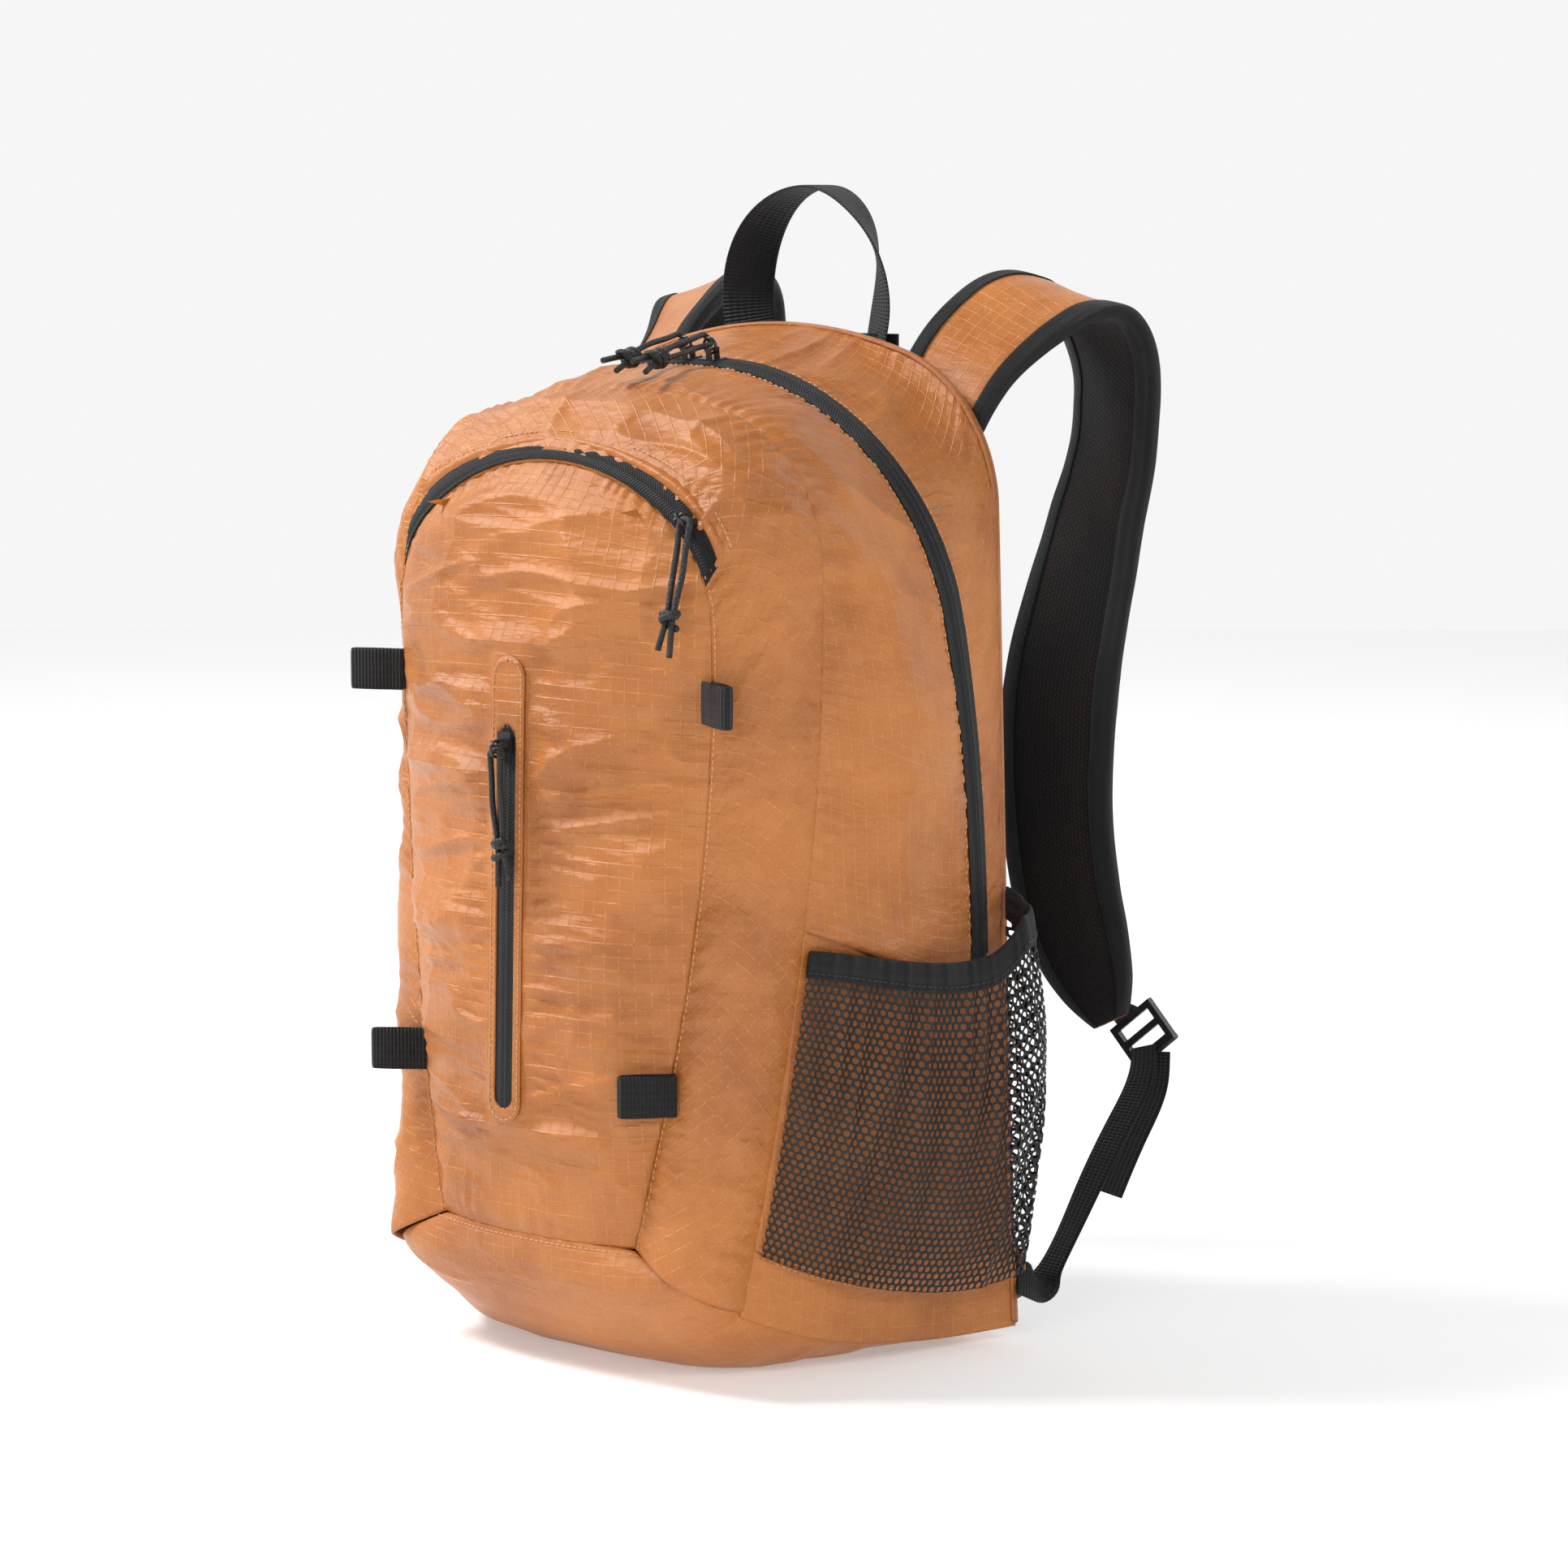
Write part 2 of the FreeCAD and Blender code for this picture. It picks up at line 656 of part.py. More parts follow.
# ---------------------------------------------------------------- tool loops
LOOPS = {  # height, outward angle from +X seen from above (degrees), for a loop on its side's front seam
    "tool_loop_upper_left": (-1, 318.0, 205.0),
    "tool_loop_upper_right": (1, 316.0, -28.0),
    "tool_loop_lower_left": (-1, 140.0, 215.0),
    "tool_loop_lower_right": (1, 138.0, 228.0),
}


def tool_loop(name):
    """Webbing folded into a flat loop and sewn into the front seam."""
    sign, z, angle = LOOPS[name]
    seam = RAILS[FRONT].point(sign * RAILS[FRONT].station_at(z))
    out = Vector(math.cos(math.radians(angle)), math.sin(math.radians(angle)), 0)
    root = seam + loop_root(name)
    depth = loop_gap + 2 * webbing
    outer = Part.makeBox(loop_reach - depth / 2, depth, loop_width, Vector(0, -depth / 2, -loop_width / 2))
    end = loop_reach - depth / 2
    outer = outer.fuse(Part.makeCylinder(depth / 2, loop_width, Vector(end, 0, -loop_width / 2)))
    below = -loop_width / 2 - 1
    hole = Part.makeBox(end - loop_seam_width, loop_gap, loop_width + 2,
                        Vector(loop_seam_width, -loop_gap / 2, below))
    hole = hole.fuse(Part.makeCylinder(loop_gap / 2, loop_width + 2, Vector(end, 0, below)))
    body = outer.cut(hole).removeSplitter()
    side = Vector(0, 0, 1).cross(out)
    body.Placement = frame_at(root, out, side)
    return body


def loop_root(name):
    """How far a loop's sewn edge stands off the seam."""
    sign, _, angle = LOOPS[name]
    out = Vector(math.cos(math.radians(angle)), math.sin(math.radians(angle)), 0)
    away = Vector(sign * 0.45, -0.89, 0)
    return away * (loop_gap / 2 + webbing + 1.2) + out * 1.0


# ---------------------------------------------------------------- zip sliders and pulls
def slider(place):
    """Slider: a plate over the tape with a bridge along it; the ring hangs on the bridge's crossbar."""
    plate = Part.makeBox(slider_length, slider_width, slider_plate,
                         Vector(-slider_length / 2, -slider_width / 2, slider_lift))
    plate = plate.makeFillet(plate_fillet, [e for e in plate.Edges if abs(e.tangentAt(e.FirstParameter).z) > 0.9])
    height = bar_height()
    reach = slider_width * bar_share / 2
    bar = Part.makeCylinder(bar_radius, 2 * reach, Vector(0, -reach, height), Vector(0, 1, 0))
    start = slider_lift + slider_plate - weld
    posts = []
    for side in (-1, 1):
        corner = Vector(-post_length / 2, side * reach - post_width / 2, start)
        posts.append(Part.makeBox(post_length, post_width, height + bar_radius - start, corner))
    body = plate.fuse([bar] + posts).removeSplitter()
    body.Placement = place
    return body


def bar_height():
    """Height of the bridge's crossbar over the tape: the ring that hangs on it clears the plate."""
    drop = ring_radius + ring_wire - ring_offset() * math.sin(ring_rise)
    return slider_lift + slider_plate + ring_clear + drop


def ring_offset():
    """Distance from the crossbar's axis to the ring's centre."""
    return ring_radius - ring_wire - bar_radius - weld


def ring_far(place, way):
    """Centre of the ring's wire at its far side; way is the ring's angle over the tape, in radians."""
    reach = ring_offset() + ring_radius
    return place.multVec(Vector(math.cos(way) * reach, 0, bar_height() + math.sin(way) * reach))


def pull_ring(place, way):
    """Wire ring threaded on the crossbar, standing along the zip."""
    torus = Part.makeTorus(ring_radius, ring_wire, Vector(), Vector(0, 1, 0))
    off = ring_offset()
    torus.Placement = place.multiply(FreeCAD.Placement(
        Vector(math.cos(way) * off, 0, bar_height() + math.sin(way) * off), FreeCAD.Rotation()))
    return torus


def bent_tube(points, radius, label):
    """Tube along straight runs joined by tangent arcs, each as large as its two runs allow."""
    edges = []
    at = points[0]
    radii = []
    for a, b, c in zip(points, points[1:], points[2:]):
        back, ahead = a - b, c - b
        shorter = min(back.Length, ahead.Length)
        back.normalize()
        ahead.normalize()
        cosine = max(-1.0, min(1.0, -back.dot(ahead)))
        half_turn = math.acos(cosine) / 2
        reach = 0.45 * shorter
        radii.append(reach / math.tan(half_turn))
        start, end = b + back * reach, b + ahead * reach
        inward = back + ahead
        inward.normalize()
        centre = b + inward * (reach / math.sin(half_turn))
        middle = centre - inward * radii[-1]
        edges.append(Part.LineSegment(at, start).toShape())
        edges.append(Part.Arc(start, middle, end).toShape())
        at = end
    edges.append(Part.LineSegment(at, points[-1]).toShape())
    path = Part.Wire(edges)
    first = points[1] - points[0]
    profile = Part.Wire([Part.Circle(points[0], first, radius).toShape()])
    tube = path.makePipeShell([profile], True, True, 2)
    length = path.Length
    ratio = tube.Volume / (math.pi * radius * radius * length)
    bends = ", ".join(f"{r:.1f}" for r in radii)
    print(f"{label}: length {length:.1f}, radii {bends}, volume ratio {ratio:.3f}")
    return tube


# Half of a pull cord's route in its own frame: +X runs from the ring to the tail, +Y across, +Z off the pack.
CORD_ROUTE = [
    (0.0, 3.0, 0.0), (5.0, 3.0, 0.0), (13.0, 2.4, 0.6), (25.0, 2.9, 0.9), (36.0, 2.0, 0.3),
    (45.0, 1.6, 0.0), (53.0, 2.8, -0.3), (59.0, 4.2, 0.2),
]
TAIL_SKEW = (3.0, 1.2, 0.3)   # how the second tail's end differs from the first


def cord_points(place):
    """The cord runs up one strand, through the ring and back down the other, both through the knot."""
    half = [Vector(*p) for p in reversed(CORD_ROUTE)]
    other = [Vector(x, -y, z) for x, y, z in CORD_ROUTE]
    other[-1] = other[-1] + Vector(*TAIL_SKEW)
    return [place.multVec(p) for p in half + other]


def knot(place):
    ball = Part.makeSphere(knot_radius)
    stretch = FreeCAD.Matrix()
    stretch.scale(1.25, 1.0, 0.8)
    ball = ball.transformGeometry(stretch)
    ball.Placement = place.multiply(FreeCAD.Placement(Vector(cord_drop, 0, 0.1), FreeCAD.Rotation()))
    return ball


# ---------------------------------------------------------------- stash pocket zip on the front panel
def stash_line():
    """Straight line that the stash zip's tape lies on: it clears the panel's belly everywhere."""
    heights = spread(stash_bottom_z, stash_top_z + garage_height, 15)
    points = [front_at(0.0, z) for z in heights]
    low, high = points[0], points[-1]
    slope = (high.y - low.y) / (high.z - low.z)
    stand = min(p.y - (low.y + slope * (p.z - low.z)) for p in points)
    return low.y + stand - 3 * pad_clear, slope


def stash_place(z):
    """Frame on the stash tape's face at a height: X runs down the zip, Z stands off the pack."""
    y0, slope = stash_line()
    y = y0 + slope * (z - stash_bottom_z) - tape
    down = Vector(0, -slope, -1)
    return frame_at((0, y, z), down, Vector(1, 0, 0))


def stash_plate(z_low, z_high, width, lift, thickness, round_top):
    """Flat piece along the stash line with round ends."""
    place = stash_place(z_high)
    length = (z_high - z_low) * math.hypot(1, stash_line()[1])
    r = width / 2
    plate = Part.makeBox(length - 2 * r, width, thickness, Vector(r, -r, lift))
    for x in (r, length - r):
        if round_top or x > r:
            plate = plate.fuse(Part.makeCylinder(r, thickness, Vector(x, 0, lift)))
        else:
            plate = plate.fuse(Part.makeBox(r, width, thickness, Vector(0, -r, lift)))
    plate = plate.removeSplitter()
    plate.Placement = place
    return plate


def stash_tape():
    top = stash_top_z + garage_height - loop_seam_width
    return stash_plate(stash_bottom_z, top, stash_tape_width, -tape, tape, True)


def zip_garage():
    """Fabric hood over the top of the stash zip, where its slider parks."""
    width = stash_tape_width + garage_margin
    hood = stash_plate(stash_top_z, stash_top_z + garage_height, width, pad_clear, tape, True)
    y = stash_place(stash_top_z).Base.y
    below = Part.makeBox(2 * width, 2 * width, 2 * width,
                         Vector(-width, y - width, stash_top_z + garage_open - 2 * width))
    return hood.cut(below)


def pocket_bag():
    """Flat bag of the stash pocket, behind the front panel."""
    behind = Vector(0, cloth + bag_stand, 0)
    grid = [[front_at(x, z) + behind for x in spread(-bag_half_width, bag_half_width, 9)]
            for z in spread(stash_bottom_z - bag_margin, stash_top_z + bag_margin, 9)]
    return shell(grid, 0.0, bag_thickness)


# ---------------------------------------------------------------- where the sliders sit
def zip_place(station, depth, lift, forward):
    """Frame on a zip tape: X along the zip, towards that side's foot if forward is 1, Z off the pack."""
    step = 0.002
    along = (skin(station + step, depth) - skin(station - step, depth)) * forward
    back = skin(station, depth - 0.02) - skin(station, depth + 0.02)
    off = along.cross(back)
    off = off if off.dot(skin(station, depth) - Vector(0, 0, 250)) > 0 else off * -1
    off.normalize()
    return frame_at(tuple(skin(station, depth) + off * lift), along, off.cross(along))


def main_place(sign, rest):
    rail = RAILS[ZIP]
    whole = rail.crown_r * rail.turn + rail.corner_r * (math.pi / 2 - rail.turn)
    return zip_place(crown_share * rest / whole, ZIP, 0.0, sign)


def arch_place():
    station = ARCH_REST
    return zip_place(station, across(station, FRONT, -arch_tape_width / 2), pad_clear + tape, 1)


def strand_side(place, way, direction):
    """Which way a cord's two strands lie apart: towards the ring's middle if it leaves the ring's plane."""
    across = place.Rotation.multVec(Vector(0, 1, 0))
    if abs(across.dot(Vector(*direction))) < 0.5:
        return across
    return place.Rotation.multVec(Vector(-math.cos(way), 0, -math.sin(way)))


def cord_place(far, direction, side):
    """Frame of a pull cord that hangs on the ring's far side."""
    way = Vector(*direction)
    way.normalize()
    wrap = cord_diameter / 2 + ring_wire + thread_clear
    return frame_at(tuple(far - way * wrap), way, side)


def pulls():
    """Every slider with its place, its ring's angle over the tape and its cord's frame."""
    places = {
        "main_slider_left": (main_place(-1, main_rest_left), main_rise, (0.10, -0.96, -0.18)),
        "main_slider_right": (main_place(1, main_rest_right), math.pi - main_rise, (0.14, -0.96, -0.18)),
        "arch_slider": (arch_place(), ring_rise, (0.01, -0.25, -0.97)),
        "stash_slider": (stash_place(stash_top_z - 7), ring_rise, (0.06, 0.02, -1.0)),
    }
    made = {}
    for name, (place, way, direction) in places.items():
        side = strand_side(place, way, direction)
        made[name] = (place, way, cord_place(ring_far(place, way), direction, side))
    return made


def lift_axis(cord):
    """The level line square to a cord, about which it turns upwards."""
    axis = cord.Rotation.multVec(Vector(1, 0, 0)).cross(Vector(0, 0, 1))
    axis.normalize()
    return axis


def pull_hinge(place):
    """The crossbar's centre and direction."""
    return place.multVec(Vector(0, 0, bar_height())), place.Rotation.multVec(Vector(0, 1, 0))


def say(name, point, axis):
    print(f"axis {name}: {point.x:.3f} {point.y:.3f} {point.z:.3f}  {axis.x:.5f} {axis.y:.5f} {axis.z:.5f}")


def save(shape, name):
    shape.exportStep(f"parts/{name}.step")
    print(f"{name}: valid {shape.isValid()}, solids {len(shape.Solids)}, volume {shape.Volume:.0f}")


def main():
    os.makedirs("parts", exist_ok=True)
    save(back_panel(), "back_panel")
    save(back_pad(), "back_pad")
    save(gusset(True), "gusset_back")
    save(gusset(False), "gusset_front")
    save(main_tape(), "main_zip_tape")
    save(yoke(), "yoke_band")
    save(arch_tape(), "arch_zip_tape")
    save(front_panel(), "front_panel")
    save(pocket_wall(), "front_pocket_wall")
    save(pocket_bag(), "stash_pocket_bag")
    save(stash_tape(), "stash_zip_tape")
    save(zip_garage(), "zip_garage")
    save(base_panel(), "base_panel")
    for side, sign in (("left", -1), ("right", 1)):
        save(low_side(sign, zip_end, boot_line), f"side_panel_{side}")
        save(low_side(sign, boot_line, 1.0), f"side_boot_{side}")
        save(pocket_mesh(sign), f"mesh_pocket_{side}")
        save(pocket_hem(sign), f"pocket_hem_{side}")
        save(strap_root(sign), f"strap_root_{side}")
        save(strap_pad(sign), f"strap_pad_{side}")
        save(strap_binding(sign), f"strap_binding_{side}")
        save(adjuster(sign), f"adjuster_webbing_{side}")
        save(ladder_lock(sign), f"ladder_lock_{side}")
        save(corner_tab(sign), f"corner_tab_{side}")
    save(haul_loop(), "haul_loop")
    save(haul_feet(), "haul_loop_feet")
    for name in LOOPS:
        save(tool_loop(name), name)
    for name, (place, way, cord) in pulls().items():
        pull = name.replace("slider", "pull")
        save(slider(place), name)
        save(pull_ring(place, way), f"{pull}_ring")
        save(bent_tube(cord_points(cord), cord_diameter / 2, f"{pull}_cord"), f"{pull}_cord")
        save(knot(cord), f"{pull}_knot")
        say(pull, *pull_hinge(place))
        if pull.startswith("main"):
            say(f"{pull}_lift", ring_far(place, way), lift_axis(cord))
        for p in cord_points(cord):
            print(f"    ({p.x / 1000:.4f}, {p.y / 1000:.4f}, {p.z / 1000:.4f}),")
    rail = RAILS[ZIP]
    lean = Vector(0, math.cos(rail.lean), math.sin(rail.lean))
    for side, sign in (("left", -1), ("right", 1)):
        centre = Vector(sign * (rail.half - rail.corner_r), rail.crown_y + rail.centre_drop * math.sin(rail.lean),
                        rail.side_z)
        say(f"main_slider_{side}", centre, lean)
    rail = RAILS[FRONT]
    say("arch_slider", Vector(0, rail.crown_y + rail.crown_r * math.sin(rail.lean),
                              rail.top - rail.crown_r * math.cos(rail.lean)),
        Vector(0, math.cos(rail.lean), math.sin(rail.lean)))
    say("stash_slider", stash_place(stash_top_z).Base, Vector(0, -stash_line()[1], -1))


main()
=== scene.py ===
"""Looks of the daypack: ripstop shell panels, zips, open mesh pockets, padded straps, webbing and cord pulls.

Sizes below are in millimetres, in the frame of the CAD parts: +Z up, the zipped front faces -Y.
Meshes are made in metres.
"""
import bpy
import math
import numpy as np
from mathutils import Matrix, Vector


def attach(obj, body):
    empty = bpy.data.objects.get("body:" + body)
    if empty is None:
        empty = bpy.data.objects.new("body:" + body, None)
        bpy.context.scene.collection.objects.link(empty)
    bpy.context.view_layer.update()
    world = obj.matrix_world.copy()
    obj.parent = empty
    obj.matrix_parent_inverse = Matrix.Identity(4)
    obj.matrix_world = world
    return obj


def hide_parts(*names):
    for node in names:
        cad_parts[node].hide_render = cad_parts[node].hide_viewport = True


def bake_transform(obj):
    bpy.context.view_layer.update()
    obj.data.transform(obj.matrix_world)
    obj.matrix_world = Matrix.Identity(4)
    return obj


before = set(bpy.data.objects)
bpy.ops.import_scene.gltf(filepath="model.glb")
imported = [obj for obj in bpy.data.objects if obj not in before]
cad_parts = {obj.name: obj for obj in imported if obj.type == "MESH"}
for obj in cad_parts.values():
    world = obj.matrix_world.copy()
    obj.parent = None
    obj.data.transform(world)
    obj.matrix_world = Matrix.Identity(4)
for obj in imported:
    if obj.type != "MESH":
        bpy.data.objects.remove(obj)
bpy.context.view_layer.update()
MM = 0.001


# ---------------------------------------------------------------- the pack's seams and body surface
CROWN_SHARE = 0.4
BACK, ZIP, SIDE, FRONT = 0, 1, 2, 3
FRONT_TOP, FRONT_LOW, FRONT_BULGE = 0.20, 0.42, 27.0
BACK_TOP, BACK_BULGE = 0.17, 3.0
ZIP_END, ARCH_END, BOOT_LINE = 0.678, 0.34, 0.95
LEFT, RIGHT = -1, 1
NAMES = {LEFT: "left", RIGHT: "right"}


class Rail:
    """A seam round the pack: crown arc, corner arcs, then a side that runs down to its foot."""

    def __init__(self, half, foot_half, top, foot, crown_r, corner_r, lean, crown_y, foot_y, foot_slope):
        self.half, self.foot_half, self.top, self.foot = half, foot_half, top, foot
        self.crown_r, self.corner_r, self.lean = crown_r, corner_r, math.radians(lean)
        self.crown_y, self.foot_y, self.foot_slope = crown_y, foot_y, foot_slope
        self.turn = math.asin((half - corner_r) / (crown_r - corner_r))
        self.centre_drop = crown_r - (crown_r - corner_r) * math.cos(self.turn)
        self.side_z = top - self.centre_drop * math.cos(self.lean)
        self.side_y = crown_y + self.centre_drop * math.sin(self.lean)

    def point(self, station):
        """Crown: (R sin a, R(1 - cos a)) then the corner arc; side: x = half + flare r^2, y a cubic in r."""
        station = np.asarray(station, float)
        share, sign = np.abs(station), np.where(station < 0, -1.0, 1.0)
        whole = self.crown_r * self.turn + self.corner_r * (math.pi / 2 - self.turn)
        length = whole * np.minimum(share, CROWN_SHARE) / CROWN_SHARE
        first = self.crown_r * self.turn
        a, b = length / self.crown_r, self.turn + (length - first) / self.corner_r
        on_crown = length <= first
        x = np.where(on_crown, self.crown_r * np.sin(a), self.half - self.corner_r + self.corner_r * np.sin(b))
        drop = np.where(on_crown, self.crown_r * (1 - np.cos(a)), self.centre_drop - self.corner_r * np.cos(b))
        r = np.maximum(0.0, (share - CROWN_SHARE) / (1 - CROWN_SHARE))
        fall = self.side_z - self.foot
        side_y = (self.side_y * (2 * r**3 - 3 * r**2 + 1) + fall * math.tan(self.lean) * (r**3 - 2 * r**2 + r)
                  + self.foot_y * (3 * r**2 - 2 * r**3) + self.foot_slope * (r**3 - r**2))
        top_y = self.crown_y + drop * math.sin(self.lean)
        top_z = self.top - drop * math.cos(self.lean)
        low = share > CROWN_SHARE
        x = x + (self.foot_half - self.half) * r * r
        return np.stack([sign * x, np.where(low, side_y, top_y), np.where(low, self.side_z - fall * r, top_z)], -1)

    def station_at(self, z):
        return CROWN_SHARE + (1 - CROWN_SHARE) * (self.side_z - z) / (self.side_z - self.foot)


RAILS = [
    Rail(128, 140, 478, 10, 250, 75, 2.6, 75, 82, 0),
    Rail(132, 133, 462, 9, 300, 117, 15.6, 11, 62, 0),
    Rail(122, 98, 451, 36, 260, 70, 1.5, -41, -67, -51),
    Rail(97, 60, 420, 65, 120, 60, 2.2, -88, -97, -17),
]


def knots_at(station):
    points = [rail.point(station) for rail in RAILS]
    gaps = [np.linalg.norm(b - a, axis=-1) for a, b in zip(points, points[1:])]
    return points, [np.zeros_like(gaps[0]), gaps[0], gaps[0] + gaps[1], gaps[0] + gaps[1] + gaps[2]]


def skin_at(station, at):
    """Point on the body at a distance from the back seam: a cubic through the rails, with a fuller corner."""
    points, knots = knots_at(station)
    total = 0.0
    for j, p in enumerate(points):
        weight = 1.0
        for m, k in enumerate(knots):
            if m != j:
                weight = weight * (at - k) / (knots[j] - k)
        total = total + p * weight[..., None]
    low = np.clip((np.abs(station) - CROWN_SHARE) / (1 - CROWN_SHARE), 0, None)
    part = np.clip((at - knots[2]) / (knots[3] - knots[2]), 0, 1)
    full = 14.0 * low**1.5 * np.sin(np.pi * part)
    way = np.stack([np.where(station < 0, -0.6, 0.6), np.full_like(full, -0.8), np.zeros_like(full)], -1)
    return total + way * full[..., None]


def strip(start, end, rows, rail_a, off_a, rail_b, off_b, cols):
    """Grid between two depth edges, each a distance from a rail; also its distances along and across, in mm."""
    station = np.linspace(start, end, rows)
    _, knots = knots_at(station)
    a, b = knots[rail_a] + off_a, knots[rail_b] + off_b
    share = np.linspace(0, 1, cols)
    at = a[:, None] + (b - a)[:, None] * share
    grid = skin_at(np.repeat(station[:, None], cols, 1), at)
    return grid, along(grid), at - a[:, None]


def along(grid):
    """Distance along the rows, measured down the middle column."""
    middle = grid[:, grid.shape[1] // 2]
    step = np.linalg.norm(np.diff(middle, axis=0), axis=1)
    run = np.concatenate([[0.0], np.cumsum(step)])
    run = run - run[len(run) // 2]
    return np.repeat(run[:, None], grid.shape[1], 1)


def face_grid(rail, top_share, bulge, low_bulge, rows, cols, inset=0.0):
    """Arch-shaped face: rows run between the rail's two sides, and the last row is its crown."""
    up, c = np.linspace(0, 1, rows)[:, None], np.linspace(-1, 1, cols)[None, :]
    edge = rail.point(1 - (1 - top_share) * up)
    crown = rail.point(top_share * c)[..., 2] - rail.point(top_share)[2]
    belly = (low_bulge + (1 - low_bulge) * np.minimum(1.0, 4 * up)) * (1 - up**6)
    x = (edge[..., 0] - inset) * c
    y = edge[..., 1] + bulge * belly * (1 - np.abs(c)**2.4)
    level = edge[..., 2] + np.where(up < 0.5, inset, -inset) * np.abs(2 * up - 1)
    return np.stack(np.broadcast_arrays(x, y, level + up**4 * crown), -1)


# ---------------------------------------------------------------- grids to meshes
def unit(v):
    return v / np.maximum(np.linalg.norm(v, axis=-1, keepdims=True), 1e-9)


def normals(grid, outward=None):
    n = unit(np.cross(np.gradient(grid, axis=0), np.gradient(grid, axis=1)))
    if outward is None:
        outward = grid - np.array([0.0, 0.0, 250.0])
    flip = np.sum(n * outward) < 0
    return -n if flip else n


def noise(x, y, seed=0):
    """Smooth value noise from 0 to 1 with cells of size 1."""
    table = np.random.RandomState(seed).rand(64, 64)
    xi, yi = np.floor(x).astype(int), np.floor(y).astype(int)
    fx, fy = x - xi, y - yi
    fx, fy = fx * fx * (3 - 2 * fx), fy * fy * (3 - 2 * fy)
    x0, x1, y0, y1 = xi % 64, (xi + 1) % 64, yi % 64, (yi + 1) % 64
    low = table[x0, y0] * (1 - fx) + table[x1, y0] * fx
    return low * (1 - fy) + (table[x0, y1] * (1 - fx) + table[x1, y1] * fx) * fy


def folds(u, v, long, short, seed, sharp=2.0):
    """Creases that run along u: ridged noise, bent by a slower noise."""
    bend = noise(u / (long * 1.5), v / (short * 3), seed + 1) * 1.6
    ridge = 1 - np.abs(2 * noise(u / long, v / short + bend, seed) - 1)
    return ridge**sharp


def puff(grid, across, width, height, sink=0.2, reach=9.0, ends=None):
    """Swelling between two seams: sinks at the seams and levels off at its height a little way in."""
    distance = np.minimum(across, width - across)
    if ends is not None:
        distance = np.minimum(distance, ends)
    return height * (1 - np.exp(-np.clip(distance, 0, None) / reach)) - sink * np.exp(-distance / 2.0)


def pucker(run, distance, pitch, size, seed, reach=11.0):
    """Short gathers that stand across a seam and fade away from it."""
    phase = run / pitch + 1.7 * noise(run / (pitch * 2.2), distance * 0.02, seed)
    strength = noise(run / (pitch * 3.1), distance * 0, seed + 5)
    near = np.clip(distance, 0, None)
    return size * strength * np.sin(2 * np.pi * phase) * np.exp(-near / reach) * (1 - np.exp(-near / 2.5))


def mesh_object(name, points, faces, uv=None, smooth=True):
    mesh = bpy.data.meshes.new(name)
    mesh.vertices.add(len(points))
    mesh.vertices.foreach_set("co", (np.asarray(points, np.float64) * MM).astype(np.float32).ravel())
    faces = np.asarray(faces, np.int32)
    mesh.loops.add(faces.size)
    mesh.loops.foreach_set("vertex_index", faces.ravel())
    mesh.polygons.add(len(faces))
    mesh.polygons.foreach_set("loop_start", np.arange(0, faces.size, 4, dtype=np.int32))
    mesh.update(calc_edges=True)
    mesh.validate()
    mesh.polygons.foreach_set("use_smooth", np.full(len(mesh.polygons), smooth))
    if uv is not None:
        layer = mesh.uv_layers.new(name="mm")
        layer.data.foreach_set("uv", np.asarray(uv, np.float32)[faces.ravel()].ravel())
    o = bpy.data.objects.new(name, mesh)
    bpy.context.scene.collection.objects.link(o)
    return o


def quads(rows, cols, wrap=False):
    r = np.arange(rows - 1)[:, None]
    c = np.arange(cols if wrap else cols - 1)[None, :]
    nxt = (c + 1) % cols
    a, b = r * cols + c, r * cols + nxt
    return np.stack([a, b, b + cols, a + cols], -1).reshape(-1, 4)


def cloth(name, grid, uv, thick=1.0, outward=None):
    """A sheet with a thickness: an outer face on the grid, an inner one under it, and a rim round both."""
    rows, cols = grid.shape[:2]
    n = normals(grid, outward)
    facing = np.sum(np.cross(np.gradient(grid, axis=0), np.gradient(grid, axis=1)) * n) < 0
    points = np.concatenate([grid.reshape(-1, 3), (grid - n * thick).reshape(-1, 3)])
    front = quads(rows, cols)
    size = rows * cols
    ring = np.concatenate([np.arange(cols), np.arange(1, rows) * cols + cols - 1,
                           (rows - 1) * cols + np.arange(cols - 2, -1, -1), np.arange(rows - 2, 0, -1) * cols])
    ahead = np.roll(ring, -1)
    rim = np.stack([ahead, ring, ring + size, ahead + size], -1)
    faces = np.concatenate([front, front[:, ::-1] + size, rim])
    if not facing:
        faces = faces[:, ::-1]
    flat = np.stack(uv, -1).reshape(-1, 2)
    return mesh_object(name, points, faces, np.concatenate([flat, flat]))


def loft(name, rings, uv, cap=True):
    """Closed tube through rings of points, with its ends drawn together."""
    rows, cols = rings.shape[:2]
    points, flat = rings, uv
    if cap:
        ends = [np.repeat(r.mean(0, keepdims=True), cols, 0) for r in (rings[0], rings[-1])]
        points = np.concatenate([ends[0][None], rings, ends[1][None]])
        flat = np.concatenate([uv[:1], uv, uv[-1:]])
        rows += 2
    faces = quads(rows, cols, wrap=True)
    a, b = points[1, 0] - points[1].mean(0), points[1, 1] - points[1, 0]
    ahead = points[-1].mean(0) - points[1].mean(0) if rows < 5 else points[3].mean(0) - points[1].mean(0)
    if np.dot(np.cross(a, b), ahead) < 0:
        faces = faces[:, ::-1]
    return mesh_object(name, points.reshape(-1, 3), faces, flat.reshape(-1, 2))


